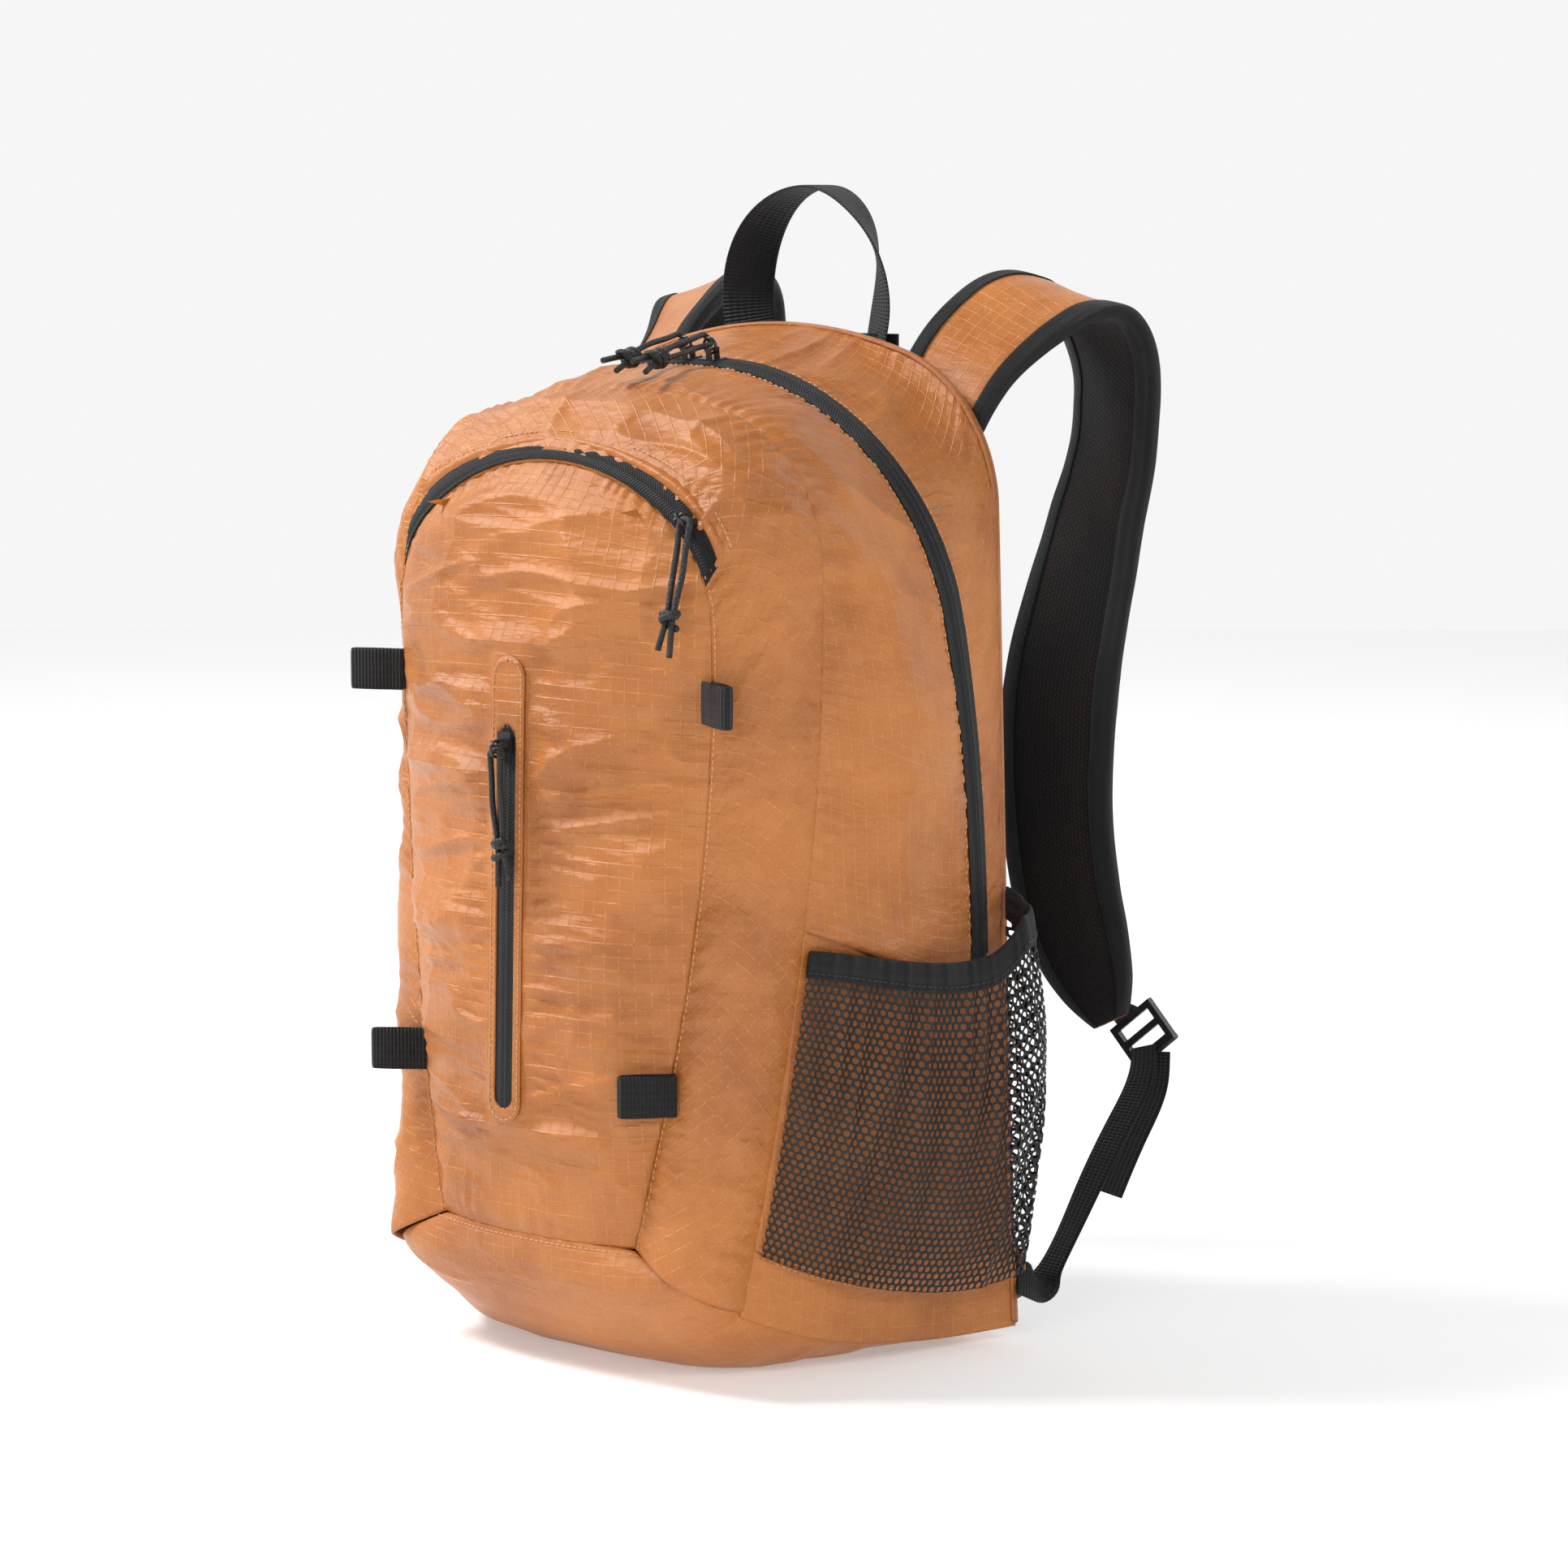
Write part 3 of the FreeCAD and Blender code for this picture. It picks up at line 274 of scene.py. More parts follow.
def spline(points, count):
    """Natural cubic through points at chord lengths, resampled evenly; returns rows of the same columns."""
    p = np.asarray(points, float)
    t = np.concatenate([[0], np.cumsum(np.linalg.norm(np.diff(p[:, :3], axis=0), axis=1))])
    h = np.diff(t)
    n = len(t)
    m = np.zeros((n, n))
    m[0, 0] = m[-1, -1] = 1
    rhs = np.zeros_like(p)
    k = np.arange(1, n - 1)
    m[k, k - 1], m[k, k], m[k, k + 1] = h[:-1], 2 * (h[:-1] + h[1:]), h[1:]
    slope = np.diff(p, axis=0) / h[:, None]
    rhs[1:-1] = 6 * np.diff(slope, axis=0)
    second = np.linalg.solve(m, rhs)
    s = np.linspace(0, t[-1], count)
    i = np.clip(np.searchsorted(t, s) - 1, 0, n - 2)
    a, b, w = (t[i + 1] - s)[:, None], (s - t[i])[:, None], h[i][:, None]
    return (second[i] * a**3 + second[i + 1] * b**3) / (6 * w) + (p[i] / w - second[i] * w / 6) * a \
        + (p[i + 1] / w - second[i + 1] * w / 6) * b


def tube(name, path, radius, sides=12):
    """Round tube along a path."""
    path = np.asarray(path, float)
    t = unit(np.gradient(path, axis=0))
    side = np.cross(t, [0.3, 0.2, 0.93])
    side = unit(side)
    over = np.cross(side, t)
    a = np.linspace(0, 2 * np.pi, sides, endpoint=False)
    turn = np.cos(a)[None, :, None] * side[:, None] + np.sin(a)[None, :, None] * over[:, None]
    rings = path[:, None] + radius * turn
    uv = np.stack(np.broadcast_arrays(np.arange(len(path))[:, None] * 1.0, a[None] * radius), -1)
    return loft(name, rings, uv)


def stitches(name, path, out, pitch=3.2, long=2.3, radius=0.33, proud=0.15):
    """Thread: one low, long bead per stitch along a path, lying on the cloth; 6 sides and 5 rings each."""
    path, out = np.asarray(path, float), np.asarray(out, float)
    run = np.concatenate([[0], np.cumsum(np.linalg.norm(np.diff(path, axis=0), axis=1))])
    at = np.arange(pitch / 2, run[-1], pitch)
    mid = np.stack([np.interp(at, run, path[:, k]) for k in range(3)], -1)
    up = unit(np.stack([np.interp(at, run, out[:, k]) for k in range(3)], -1))
    tan = np.stack([np.interp(at + 0.5, run, path[:, k]) - np.interp(at - 0.5, run, path[:, k])
                    for k in range(3)], -1)
    tan = unit(tan - up * np.sum(tan * up, -1, keepdims=True))
    side = np.cross(up, tan)
    s = np.array([-1.0, -0.72, 0.0, 0.72, 1.0])
    girth = np.array([0.15, 0.85, 1.0, 0.85, 0.15])
    a = np.linspace(0, 2 * np.pi, 6, endpoint=False)
    ring = mid[:, None, None] + tan[:, None, None] * (s * long / 2)[None, :, None, None] \
        + side[:, None, None] * (girth[:, None] * np.cos(a) * radius)[None, ..., None] \
        + up[:, None, None] * (girth[:, None] * np.sin(a) * radius + proud)[None, ..., None]
    one = quads(5, 6, wrap=True)
    faces = (one[None] + (np.arange(len(at)) * 30)[:, None, None]).reshape(-1, 4)
    return mesh_object(name, ring.reshape(-1, 3), faces[:, ::-1])


# ---------------------------------------------------------------- materials
class Wire:
    """A shader value that can be used in sums."""

    def __init__(self, look, socket):
        self.look, self.socket = look, socket

    def math(self, operation, *others):
        node = self.look.tree.nodes.new("ShaderNodeMath")
        node.operation = operation
        for k, value in enumerate((self,) + others):
            self.look.feed(node.inputs[k], value)
        return Wire(self.look, node.outputs[0])

    def __add__(self, other):
        return self.math("ADD", other)

    def __sub__(self, other):
        return self.math("SUBTRACT", other)

    def __mul__(self, other):
        return self.math("MULTIPLY", other)

    def __truediv__(self, other):
        return self.math("DIVIDE", other)

    def fract(self):
        return self.math("FRACT")

    def step(self, low, high):
        """0 below low, 1 above high, smooth between."""
        node = self.look.tree.nodes.new("ShaderNodeMapRange")
        node.interpolation_type = "SMOOTHSTEP"
        for k, value in enumerate((self, low, high)):
            self.look.feed(node.inputs[k], value)
        return Wire(self.look, node.outputs[0])


class Look:
    """A material under construction."""

    def __init__(self, name, roughness=0.5, sheen=0.0, sheen_rough=0.5, specular=0.5):
        self.material = bpy.data.materials.new("look_" + name)
        self.material.use_nodes = True
        self.tree = self.material.node_tree
        self.shader = next(n for n in self.tree.nodes if n.type == "BSDF_PRINCIPLED")
        self.shader.inputs["Roughness"].default_value = roughness
        self.shader.inputs["Sheen Weight"].default_value = sheen
        self.shader.inputs["Sheen Roughness"].default_value = sheen_rough
        self.shader.inputs["Specular IOR Level"].default_value = specular

    def feed(self, socket, value):
        if isinstance(value, Wire):
            self.tree.links.new(value.socket, socket)
        elif isinstance(value, tuple) and len(value) == 3 and len(socket.default_value) == 4:
            socket.default_value = (*value, 1.0)
        else:
            socket.default_value = value

    def node(self, kind, output=0, settings=None, **inputs):
        n = self.tree.nodes.new("ShaderNode" + kind)
        for key, value in (settings or {}).items():
            setattr(n, key, value)
        for key, value in inputs.items():
            self.feed(n.inputs[key.replace("_", " ")], value)
        return Wire(self, n.outputs[output])

    def object_point(self):
        return self.node("TexCoord", 3)

    def uv(self):
        split = self.tree.nodes.new("ShaderNodeSeparateXYZ")
        self.tree.links.new(self.node("UVMap", settings={"uv_map": "mm"}).socket, split.inputs[0])
        return Wire(self, split.outputs[0]), Wire(self, split.outputs[1])

    def noise(self, scale, detail=2.0, rough=0.5, vector=None):
        vector = vector or self.object_point()
        return self.node("TexNoise", Vector=vector, Scale=scale, Detail=detail, Roughness=rough)

    def blend(self, share, a, b):
        n = self.tree.nodes.new("ShaderNodeMix")
        n.data_type = "RGBA"
        self.feed(n.inputs[0], share)
        self.feed(n.inputs[6], a)
        self.feed(n.inputs[7], b)
        return Wire(self, n.outputs[2])

    def finish(self, color=None, rough=None, height=None, depth=0.0003, alpha=None):
        if color is not None:
            self.feed(self.shader.inputs["Base Color"], color)
        if rough is not None:
            self.feed(self.shader.inputs["Roughness"], rough)
        if alpha is not None:
            self.feed(self.shader.inputs["Alpha"], alpha)
        if height is not None:
            bump = self.node("Bump", Height=height, Distance=depth, Strength=1.0)
            self.tree.links.new(bump.socket, self.shader.inputs["Normal"])
        return self.material


def line(value, pitch, width, soft=0.25):
    """1 on thin lines at every pitch of a value in mm."""
    near = ((value / pitch).fract() - 0.5).math("ABSOLUTE") * pitch
    half = pitch / 2
    return near.step(half - width / 2 - soft, half - width / 2 + soft)


TAN = (0.460, 0.150, 0.026)
TAN_LIGHT = (0.560, 0.215, 0.050)
TAN_DARK = (0.340, 0.100, 0.016)


def ripstop(name="ripstop", pitch=6.0, creases=1.0):
    """Coated ripstop: a square of raised threads, fine weave, slow colour drift and crinkle."""
    look = Look(name, sheen=0.04, sheen_rough=0.35, specular=0.50)
    u, v = look.uv()
    grid = line(u, pitch, 0.5).math("MAXIMUM", line(v, pitch, 0.5))
    thread = grid * look.noise(700.0, 1.0).step(0.36, 0.70)
    weave = (u * 9.0).math("SINE") * (v * 9.0).math("SINE")
    drift = look.noise(9.0, 3.0)
    fine = look.noise(60.0, 3.0, 0.6)
    tone = look.blend(drift.step(0.35, 0.65), TAN_DARK, TAN)
    tone = look.blend(fine.step(0.3, 0.75) * 0.35, tone, TAN_LIGHT)
    tone = look.blend(thread * 0.42, tone, (0.70, 0.33, 0.10))
    stretch = look.node("Mapping", Vector=look.object_point(), Scale=(0.55, 0.55, 1.9))
    crinkle = look.noise(30.0, 4.0, 0.6, stretch)
    height = crinkle * (3.4 * creases) + grid * 0.14 + weave * 0.035 + fine * 0.34
    return look.finish(tone, drift * 0.12 + 0.29 - thread * 0.04, height, 0.0012)


def black_weave(name, rib_u=0.0, rib_v=0.0, herring=0.0):
    """Black tape or webbing: ribs across one or both ways, or a herringbone."""
    look = Look(name, 0.68, sheen=0.06, sheen_rough=0.5, specular=0.30)
    u, v = look.uv()
    height = look.noise(1400.0, 2.0) * 0.25
    if herring:
        fold = ((v / 5.4).fract() - 0.5).math("ABSOLUTE") * 5.4
        height = height + ((u + fold) * (2 * math.pi / herring)).math("SINE") * 0.5
    if rib_u:
        height = height + (u * (2 * math.pi / rib_u)).math("SINE") * 0.6
    if rib_v:
        height = height + (v * (2 * math.pi / rib_v)).math("SINE") * 0.25
    # Painted shade and highlight: the weave is coloured darker in its low grooves and lighter on its raised ribs,
    # following the bump height.
    tone = look.blend(height.step(0.0, 0.9), (0.0050, 0.0050, 0.0055), (0.0125, 0.0125, 0.01325))
    worn = look.noise(40.0, 2.0).step(0.45, 0.8) * 0.4
    tone = look.blend(worn, tone, (0.01875, 0.01875, 0.020))
    return look.finish(tone, None, height, 0.00045)


def hex_holes(look, u, v, pitch, wall):
    """Distance field of a hexagonal net: 1 on the threads and 0 in the holes."""
    h = pitch * 0.866
    best = None
    for shift in (0.0, 0.5):
        x = ((u / pitch + shift).fract() - 0.5) * pitch
        y = ((v / (2 * h) + shift).fract() - 0.5) * (2 * h)
        d = (x * x + y * y).math("SQRT")
        flat = x.math("ABSOLUTE").math("MAXIMUM", x.math("ABSOLUTE") * 0.5 + y.math("ABSOLUTE") * 0.866)
        d = d * 0.35 + flat * 0.65
        best = d if best is None else best.math("MINIMUM", d)
    return best.step(pitch / 2 - wall - 0.10, pitch / 2 - wall + 0.10)


def open_mesh():
    look = Look("open_mesh", 0.5, sheen=0.05, specular=0.4)
    u, v = look.uv()
    net = hex_holes(look, u, v, 4.3, 0.62)
    tone = look.blend(look.noise(30.0, 2.0).step(0.4, 0.7), (0.004, 0.004, 0.0045), (0.011, 0.011, 0.012))
    return look.finish(tone, None, net, 0.0003, alpha=net)


def air_mesh():
    look = Look("air_mesh", 0.8, sheen=0.08, specular=0.22)
    u, v = look.uv()
    net = hex_holes(look, u, v, 2.6, 0.45)
    spot = look.noise(16.0, 2.0).step(0.35, 0.75)
    under = look.blend(spot, (0.006, 0.004, 0.004), (0.026, 0.009, 0.006))
    tone = look.blend(net, under, (0.0065, 0.0065, 0.007))
    return look.finish(tone, None, net + look.noise(120.0) * 0.4, 0.0006)


def braid():
    look = Look("braid", 0.5, sheen=0.06, specular=0.45)
    cells = look.node("TexVoronoi", Vector=look.object_point(), Scale=1100.0)
    fleck = cells.step(0.22, 0.10)
    mark = look.noise(420.0, 1.0).step(0.56, 0.60)
    tone = look.blend(fleck * mark, (0.006, 0.006, 0.0065), (0.26, 0.26, 0.27))
    return look.finish(tone, None, cells * -1.0, 0.0004)


def thread(name, color):
    look = Look(name, 0.5, sheen=0.2)
    grain = look.noise(2200.0, 1.0)
    return look.finish(look.blend(grain, color, tuple(c * 0.7 for c in color)), None, grain, 0.0002)


def plastic():
    look = Look("moulded_black", 0.38, specular=0.5)
    grain = look.noise(900.0, 2.0)
    tone = look.blend(look.noise(60.0), (0.007, 0.007, 0.008), (0.012, 0.012, 0.013))
    return look.finish(tone, grain * 0.12 + 0.34, grain, 0.00006)


def painted():
    look = Look("painted_black", 0.3, specular=0.6)
    grain = look.noise(300.0, 2.0)
    tone = look.blend(look.noise(150.0), (0.008, 0.008, 0.009), (0.02, 0.02, 0.022))
    return look.finish(tone, grain * 0.2 + 0.2, grain, 0.00005)


RIPSTOP = ripstop()
LINING = ripstop("lining", 6.0, 0.6)
ZIPPER = black_weave("zip_weave", herring=1.5)
WEBBING = black_weave("webbing_ribs", rib_u=1.7, rib_v=3.4)
TWILL = black_weave("twill", herring=0.9)
OPEN_MESH, AIR_MESH, BRAID = open_mesh(), air_mesh(), braid()
THREAD_TAN = thread("thread_tan", (0.74, 0.36, 0.13))
THREAD_BLACK = thread("thread_black", (0.02, 0.02, 0.022))
PLASTIC, PAINT = plastic(), painted()


def dress(o, material, body="pack", replaces=()):
    o.data.materials.append(material)
    if body:
        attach(o, body)
    if replaces:
        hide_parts(*replaces)
    return o


for node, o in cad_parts.items():
    own = PLASTIC if node.startswith("ladder_lock") else LINING
    own = PAINT if "slider" in node or node.endswith("_ring") else own
    own = WEBBING if node == "haul_loop_feet" else own
    for k in range(len(o.material_slots)):
        o.material_slots[k].material = own


# ---------------------------------------------------------------- shell
def raised(grid, height, outward=None):
    return grid + normals(grid, outward) * height[..., None]


def turned(u, v, degrees):
    """Cloth coordinates turned, for a panel cut off the straight grain."""
    c, s = math.cos(math.radians(degrees)), math.sin(math.radians(degrees))
    return u * c + v * s, v * c - u * s


def seam_thread(name, grid, row=None, col=None, outward=None):
    """Stitches along one row or column of a grid."""
    n = normals(grid, outward)
    path, out = (grid[row], n[row]) if row is not None else (grid[:, col], n[:, col])
    dress(stitches(name, path, out), THREAD_TAN)


STASH_SLOPE, STASH_Y, STASH_LOW = 0.0276484, -119.3886, 124.0


def stash_y(z):
    """The straight line of the stash zip's tape face."""
    return STASH_Y + STASH_SLOPE * (z - STASH_LOW)


def front_panel():
    grid = face_grid(RAILS[FRONT], FRONT_TOP, -FRONT_BULGE, FRONT_LOW, 270, 176)
    x, z = grid[..., 0], grid[..., 2]
    half = np.abs(grid[:, :1, 0])
    side = half - np.abs(x)
    base = along(grid) - along(grid)[0, 0]
    top = base[-1, 0] - base
    edge = np.minimum(np.minimum(side, base), top)
    swell = 2.0 * (1 - np.exp(-edge / 10)) - 0.3 * np.exp(-edge / 2.0)
    calm = 1 - np.exp(-(np.abs(x) / 20)**4) * ((z > 112) & (z < 338))
    flow = folds(x, z + 0.0016 * x * x, 95, 27, 3, 2.6) * 6.5 + folds(x, z - 0.10 * x, 52, 14, 9, 2.2) * 3.4
    flow += folds(z, x, 60, 30, 15, 3.0) * 1.0 + folds(x, z + 0.2 * x, 34, 8, 27, 2.0) * 1.5
    swell += (flow - 4.4) * (1 - np.exp(-edge / 12)) * (0.25 + 0.75 * calm)
    swell += pucker(z, side, 9.0, 1.5, 21) + pucker(x, top, 8.0, 1.3, 22) + pucker(x, base, 12.0, 0.9, 23)
    placket = np.exp(-(np.abs(x) / 13)**4) * np.clip((z - 108) / 14, 0, 1) * np.clip((346 - z) / 14, 0, 1)
    swell += pucker(z, np.abs(np.abs(x) - 13), 7.5, 1.8, 25, 12.0) * (1 - placket) * ((z > 112) & (z < 338))
    grid = raised(grid, swell, np.array([0, -1.0, 0]))
    grid[..., 1] = grid[..., 1] * (1 - placket) + (stash_y(z) + 0.1) * placket
    o = cloth("front_panel_cloth", grid, (x, along(grid)), 1.0, np.array([0, -1.0, 0]))
    dress(o, RIPSTOP, replaces=["front_panel"])


def band(name, node, start, end, rows, rails, cols, angle=0.0, height=1.6, seed=0, crease=1.0, ends=False,
         shape=(70, 22)):
    """A shell panel between two rails, puffed between its seams, with soft folds and puckers."""
    grid, run, off = strip(start, end, rows, *rails, cols)
    width = off[:, -1:]
    length = np.abs(run[-1, 0] - run[0, 0])
    finish = np.minimum(run - run[0, 0], run[-1, 0] - run) if ends else np.full_like(run, length)
    edge = np.minimum(np.minimum(off, width - off), finish)
    swell = puff(grid, off, width, height, ends=finish)
    flow = folds(off, run, shape[0], shape[1], seed + 1, 2.2) * 2.2 + folds(run, off, 60, 24, seed + 4, 2.5) * 1.4
    swell += crease * 1.5 * (flow - 1.6) * (1 - np.exp(-edge / 12))
    swell += crease * 1.7 * (pucker(run, off, 8.5, 0.7, seed + 7) + pucker(run, width - off, 9.5, 0.7, seed + 8))
    grid = raised(grid, swell)
    dress(cloth(name, grid, turned(run, off, angle)), RIPSTOP, replaces=[node])
    return grid


def shell():
    front_panel()
    yoke = band("yoke_cloth", "yoke_band", -1, 1, 460, (SIDE, -0.4, FRONT, 0.6), 70, 38, 2.2, 30, 1.3)
    ahead = band("gusset_front_cloth", "gusset_front", -0.69, 0.69, 420, (ZIP, 8.4, SIDE, 0.4), 90, 0, 1.8, 50,
                    1.3, shape=(90, 34))
    behind = band("gusset_back_cloth", "gusset_back", -0.69, 0.69, 420, (BACK, -0.6, ZIP, -5.4), 60, 0, 1.6, 70,
                     0.8)
    seam_thread("gusset_stitches_front", ahead, col=3)
    seam_thread("gusset_stitches_back", behind, col=-4)
    seam_thread("yoke_stitches_front", yoke, col=-3)
    for sign in (LEFT, RIGHT):
        side = NAMES[sign]
        rails = (BACK, -0.6, SIDE, 0.5)
        band(f"side_panel_{side}_cloth", f"side_panel_{side}", sign * 0.676, sign * 0.949, 130, rails, 90, 0, 0.8,
             90, 0.6)
        boot = band(f"side_boot_{side}_cloth", f"side_boot_{side}", sign * 0.949, sign * 1.004, 40, rails, 90, 0,
                       1.6, 95, 0.5, ends=True)
        seam_thread(f"boot_stitches_{side}", boot[:, 6:-6], row=3)


def base():
    """Boat-shaped base: front roll on an ellipse, flat sole, quarter-ellipse heel; its sides rise to the seam."""
    roll_y, roll_z, heel_y, heel_z = 70.0, 67.0, 20.0, 8.0
    length = 260.0
    nose = RAILS[FRONT].foot_y - FRONT_BULGE * FRONT_LOW
    flat_start, flat_end = nose + roll_y, 84.0 - heel_y
    _, knots = knots_at(np.array(1.0))
    rows, cols = 190, 170
    v = np.linspace(0, 1, rows)
    edge = skin_at(np.full(rows, 1.0), knots[3] * (1 - v))
    edge[:, 0] = np.abs(edge[:, 0])
    angle, heel = np.pi * np.minimum(v, 0.5), np.clip((v - 0.9) / 0.1, 0, 1) * np.pi / 2
    y = np.where(v < 0.5, flat_start - roll_y * np.cos(angle),
                 np.where(v < 0.9, flat_start + (flat_end - flat_start) * (v - 0.5) / 0.4,
                          flat_end + heel_y * np.sin(heel)))
    z = np.where(v < 0.5, roll_z * (1 - np.sin(angle)), heel_z * (1 - np.cos(heel)))
    c = np.linspace(-1, 1, cols)[None, :]
    pull = np.abs(c)**5
    x3 = edge[:, :1] * c
    y3 = y[:, None] + (edge[:, 1:2] - y[:, None]) * np.abs(c)**2.4
    z3 = z[:, None] - 0.4 + (edge[:, 2:3] - 0.3 + 0.4 - z[:, None]) * pull
    grid = np.stack([x3, y3, z3], -1)
    rim = np.minimum((1 - np.abs(c)) * edge[:, :1], np.minimum(v, 1 - v)[:, None] * length)
    out = grid - np.array([0, 0, 120.0])
    swell = 1.3 * (1 - np.exp(-rim / 9)) - 0.6 * np.exp(-rim / 2)
    swell += (folds(x3, v[:, None] * length, 60, 20, 41, 2.2) - 0.5) * 1.6 * (1 - np.exp(-rim / 12))
    swell += pucker(x3, v[:, None] * length, 10, 0.6, 43)
    grid = raised(grid, swell, out)
    grid[..., 2] = np.maximum(grid[..., 2], 0.0)
    uv = (x3, np.repeat(v[:, None] * length, cols, 1))
    dress(cloth("base_cloth", grid, uv, 1.0, out), RIPSTOP, replaces=["base_panel"])
    seam_thread("base_stitches", grid, row=3, outward=out)


def back():
    """Back panel and its foam pad, both of air mesh over the shell, with a bound edge round the panel."""
    up = np.array([0, 1.0, 0])
    grid = face_grid(RAILS[BACK], BACK_TOP, BACK_BULGE, 0.3, 150, 110)
    grid[..., 1] += 0.2
    o = cloth("back_panel_cloth", grid, (grid[..., 0], grid[..., 2]), 1.0, up)
    dress(o, AIR_MESH, replaces=["back_panel"])
    grid = face_grid(RAILS[BACK], BACK_TOP, BACK_BULGE, 0.3, 170, 120, inset=14.0)
    half = np.abs(grid[:, :1, 0])
    side, run = half - np.abs(grid[..., 0]), along(grid) - along(grid)[0, 0]
    edge = np.minimum(side, np.minimum(run, run[-1, 0] - run))
    channel = np.exp(-((np.abs(grid[..., 0]) - 46) / 5.0)**2) * (edge > 20)
    swell = 7.6 * (1 - np.exp(-edge / 6)) - 3.2 * channel
    swell += (folds(grid[..., 0], run, 50, 40, 71) - 0.5) * 1.0
    grid[..., 1] += 0.6 + swell
    o = cloth("back_pad_foam", grid, (grid[..., 0], grid[..., 2]), 1.2, up)
    dress(o, AIR_MESH, replaces=["back_pad"])
    rail = RAILS[BACK].point(np.linspace(-1, 1, 420))
    out = unit(rail - np.array([0, 82.0, 200.0])) * [1, 0, 1]
    a = np.linspace(0, 2 * np.pi, 12, endpoint=False)
    rings = rail[:, None] + out[:, None] * (np.cos(a) * 1.3)[None, :, None]
    rings = rings + up * (np.sin(a) * 2.4 + 0.4)[None, :, None]
    run = np.arange(420)[:, None] * 3.1
    dress(loft("back_seam_binding", rings, np.stack(np.broadcast_arrays(run, a * 3), -1)), RIPSTOP)


# ---------------------------------------------------------------- zips
def zips():
    grid, run, off = strip(-0.69, 0.69, 500, ZIP, -7.0, ZIP, 9.6, 29)
    centre = off - 8.0
    coil = 0.9 * np.exp(-(np.abs(centre) / 3.4)**4) - 0.5 * np.exp(-(centre / 0.5)**2)
    grid = raised(grid, coil + 0.9)
    dress(cloth("main_zip_weave", grid, (run, centre + 2.7), 0.8), ZIPPER, replaces=["main_zip_tape"])
    grid, run, off = strip(-ARCH_END, ARCH_END, 240, FRONT, -8.2, FRONT, -0.2, 15)
    centre = off - 4.0
    coil = 1.3 + 0.9 * np.exp(-(np.abs(centre) / 2.6)**4) - 0.5 * np.exp(-(centre / 0.4)**2)
    taper = np.clip(np.minimum(run - run[0, 0], run[-1, 0] - run) / 14, 0, 1)
    grid = raised(grid, coil * (0.25 + 0.75 * taper))
    dress(cloth("arch_zip_weave", grid, (run, centre + 2.7), 0.8), ZIPPER, replaces=["arch_zip_tape"])
    lip, run, off = strip(-ARCH_END, ARCH_END, 260, FRONT, -12.5, FRONT, -7.6, 9)
    taper = np.clip(np.minimum(run - run[0, 0], run[-1, 0] - run) / 24, 0, 1)
    lip = raised(lip, 2.6 * np.sin(np.pi * np.clip(off / 5.2, 0, 1)) * taper**0.5 + 0.3)
    dress(cloth("arch_zip_lip", lip, (run, off), 0.8), RIPSTOP)
    seam_thread("arch_stitches", raised(strip(-ARCH_END, ARCH_END, 260, FRONT, -15.5, FRONT, -14.5, 3)[0],
                                        np.full((260, 3), 1.7)), col=1)


def capsule(half, low, high, count):
    """Closed outline with a straight pair of sides and round ends, as x and z."""
    t = np.linspace(0, 1, count, endpoint=False)
    length = high - low - 2 * half
    total = 2 * length + 2 * np.pi * half
    s = t * total
    x, z = np.zeros(count), np.zeros(count)
    up = s < length
    x[up], z[up] = half, low + half + s[up]
    cap = (s >= length) & (s < length + np.pi * half)
    a = (s[cap] - length) / half
    x[cap], z[cap] = half * np.cos(a), high - half + half * np.sin(a)
    down = (s >= length + np.pi * half) & (s < 2 * length + np.pi * half)
    x[down], z[down] = -half, high - half - (s[down] - length - np.pi * half)
    end = s >= 2 * length + np.pi * half
    a = (s[end] - 2 * length - np.pi * half) / half
    x[end], z[end] = -half * np.cos(a), low + half - half * np.sin(a)
    return x, z


def stash():
    """Vertical zip: tape and coil in a window of folded cloth, with a hood over its top."""
    front = np.array([0, -1.0, 0])
    z, x = np.linspace(123, 306, 150)[:, None], np.linspace(-6.6, 6.6, 17)[None, :]
    coil = 0.6 * np.exp(-(np.abs(x) / 2.4)**4) - 0.45 * np.exp(-(x / 0.4)**2)
    grid = np.stack(np.broadcast_arrays(x, stash_y(z) - 0.5 - coil, z), -1)
    o = cloth("stash_zip_weave", grid, np.broadcast_arrays(z, x + 2.7), 0.5, front)
    dress(o, ZIPPER, replaces=["stash_zip_tape"])
    count = 360
    ox, oz = capsule(10.0, 119, 333, count)
    ix, iz = capsule(5.3, 126, 300, count)
    across = np.linspace(0, 1, 11)[:, None]
    gx, gz = ox * (1 - across) + ix * across, oz * (1 - across) + iz * across
    lift = 0.5 + 1.1 * across**0.7 - 0.9 * np.clip(across - 0.86, 0, 1) / 0.14
    grid = np.stack([gx, stash_y(gz) - lift, gz], -1)
    grid = np.concatenate([grid, grid[:, :1]], 1)
    uv = (grid[..., 0], grid[..., 2])
    dress(cloth("stash_frame_cloth", grid, uv, 0.5, front), RIPSTOP, replaces=["zip_garage"])
    sx, sz = capsule(8.6, 120.5, 331.5, 300)
    path = np.stack([sx, stash_y(sz) - 1.05, sz], -1)
    path = np.concatenate([path, path[:1]])
    dress(stitches("stash_stitches", path, np.repeat(front[None], len(path), 0), 3.0, 2.0, 0.28), THREAD_TAN)


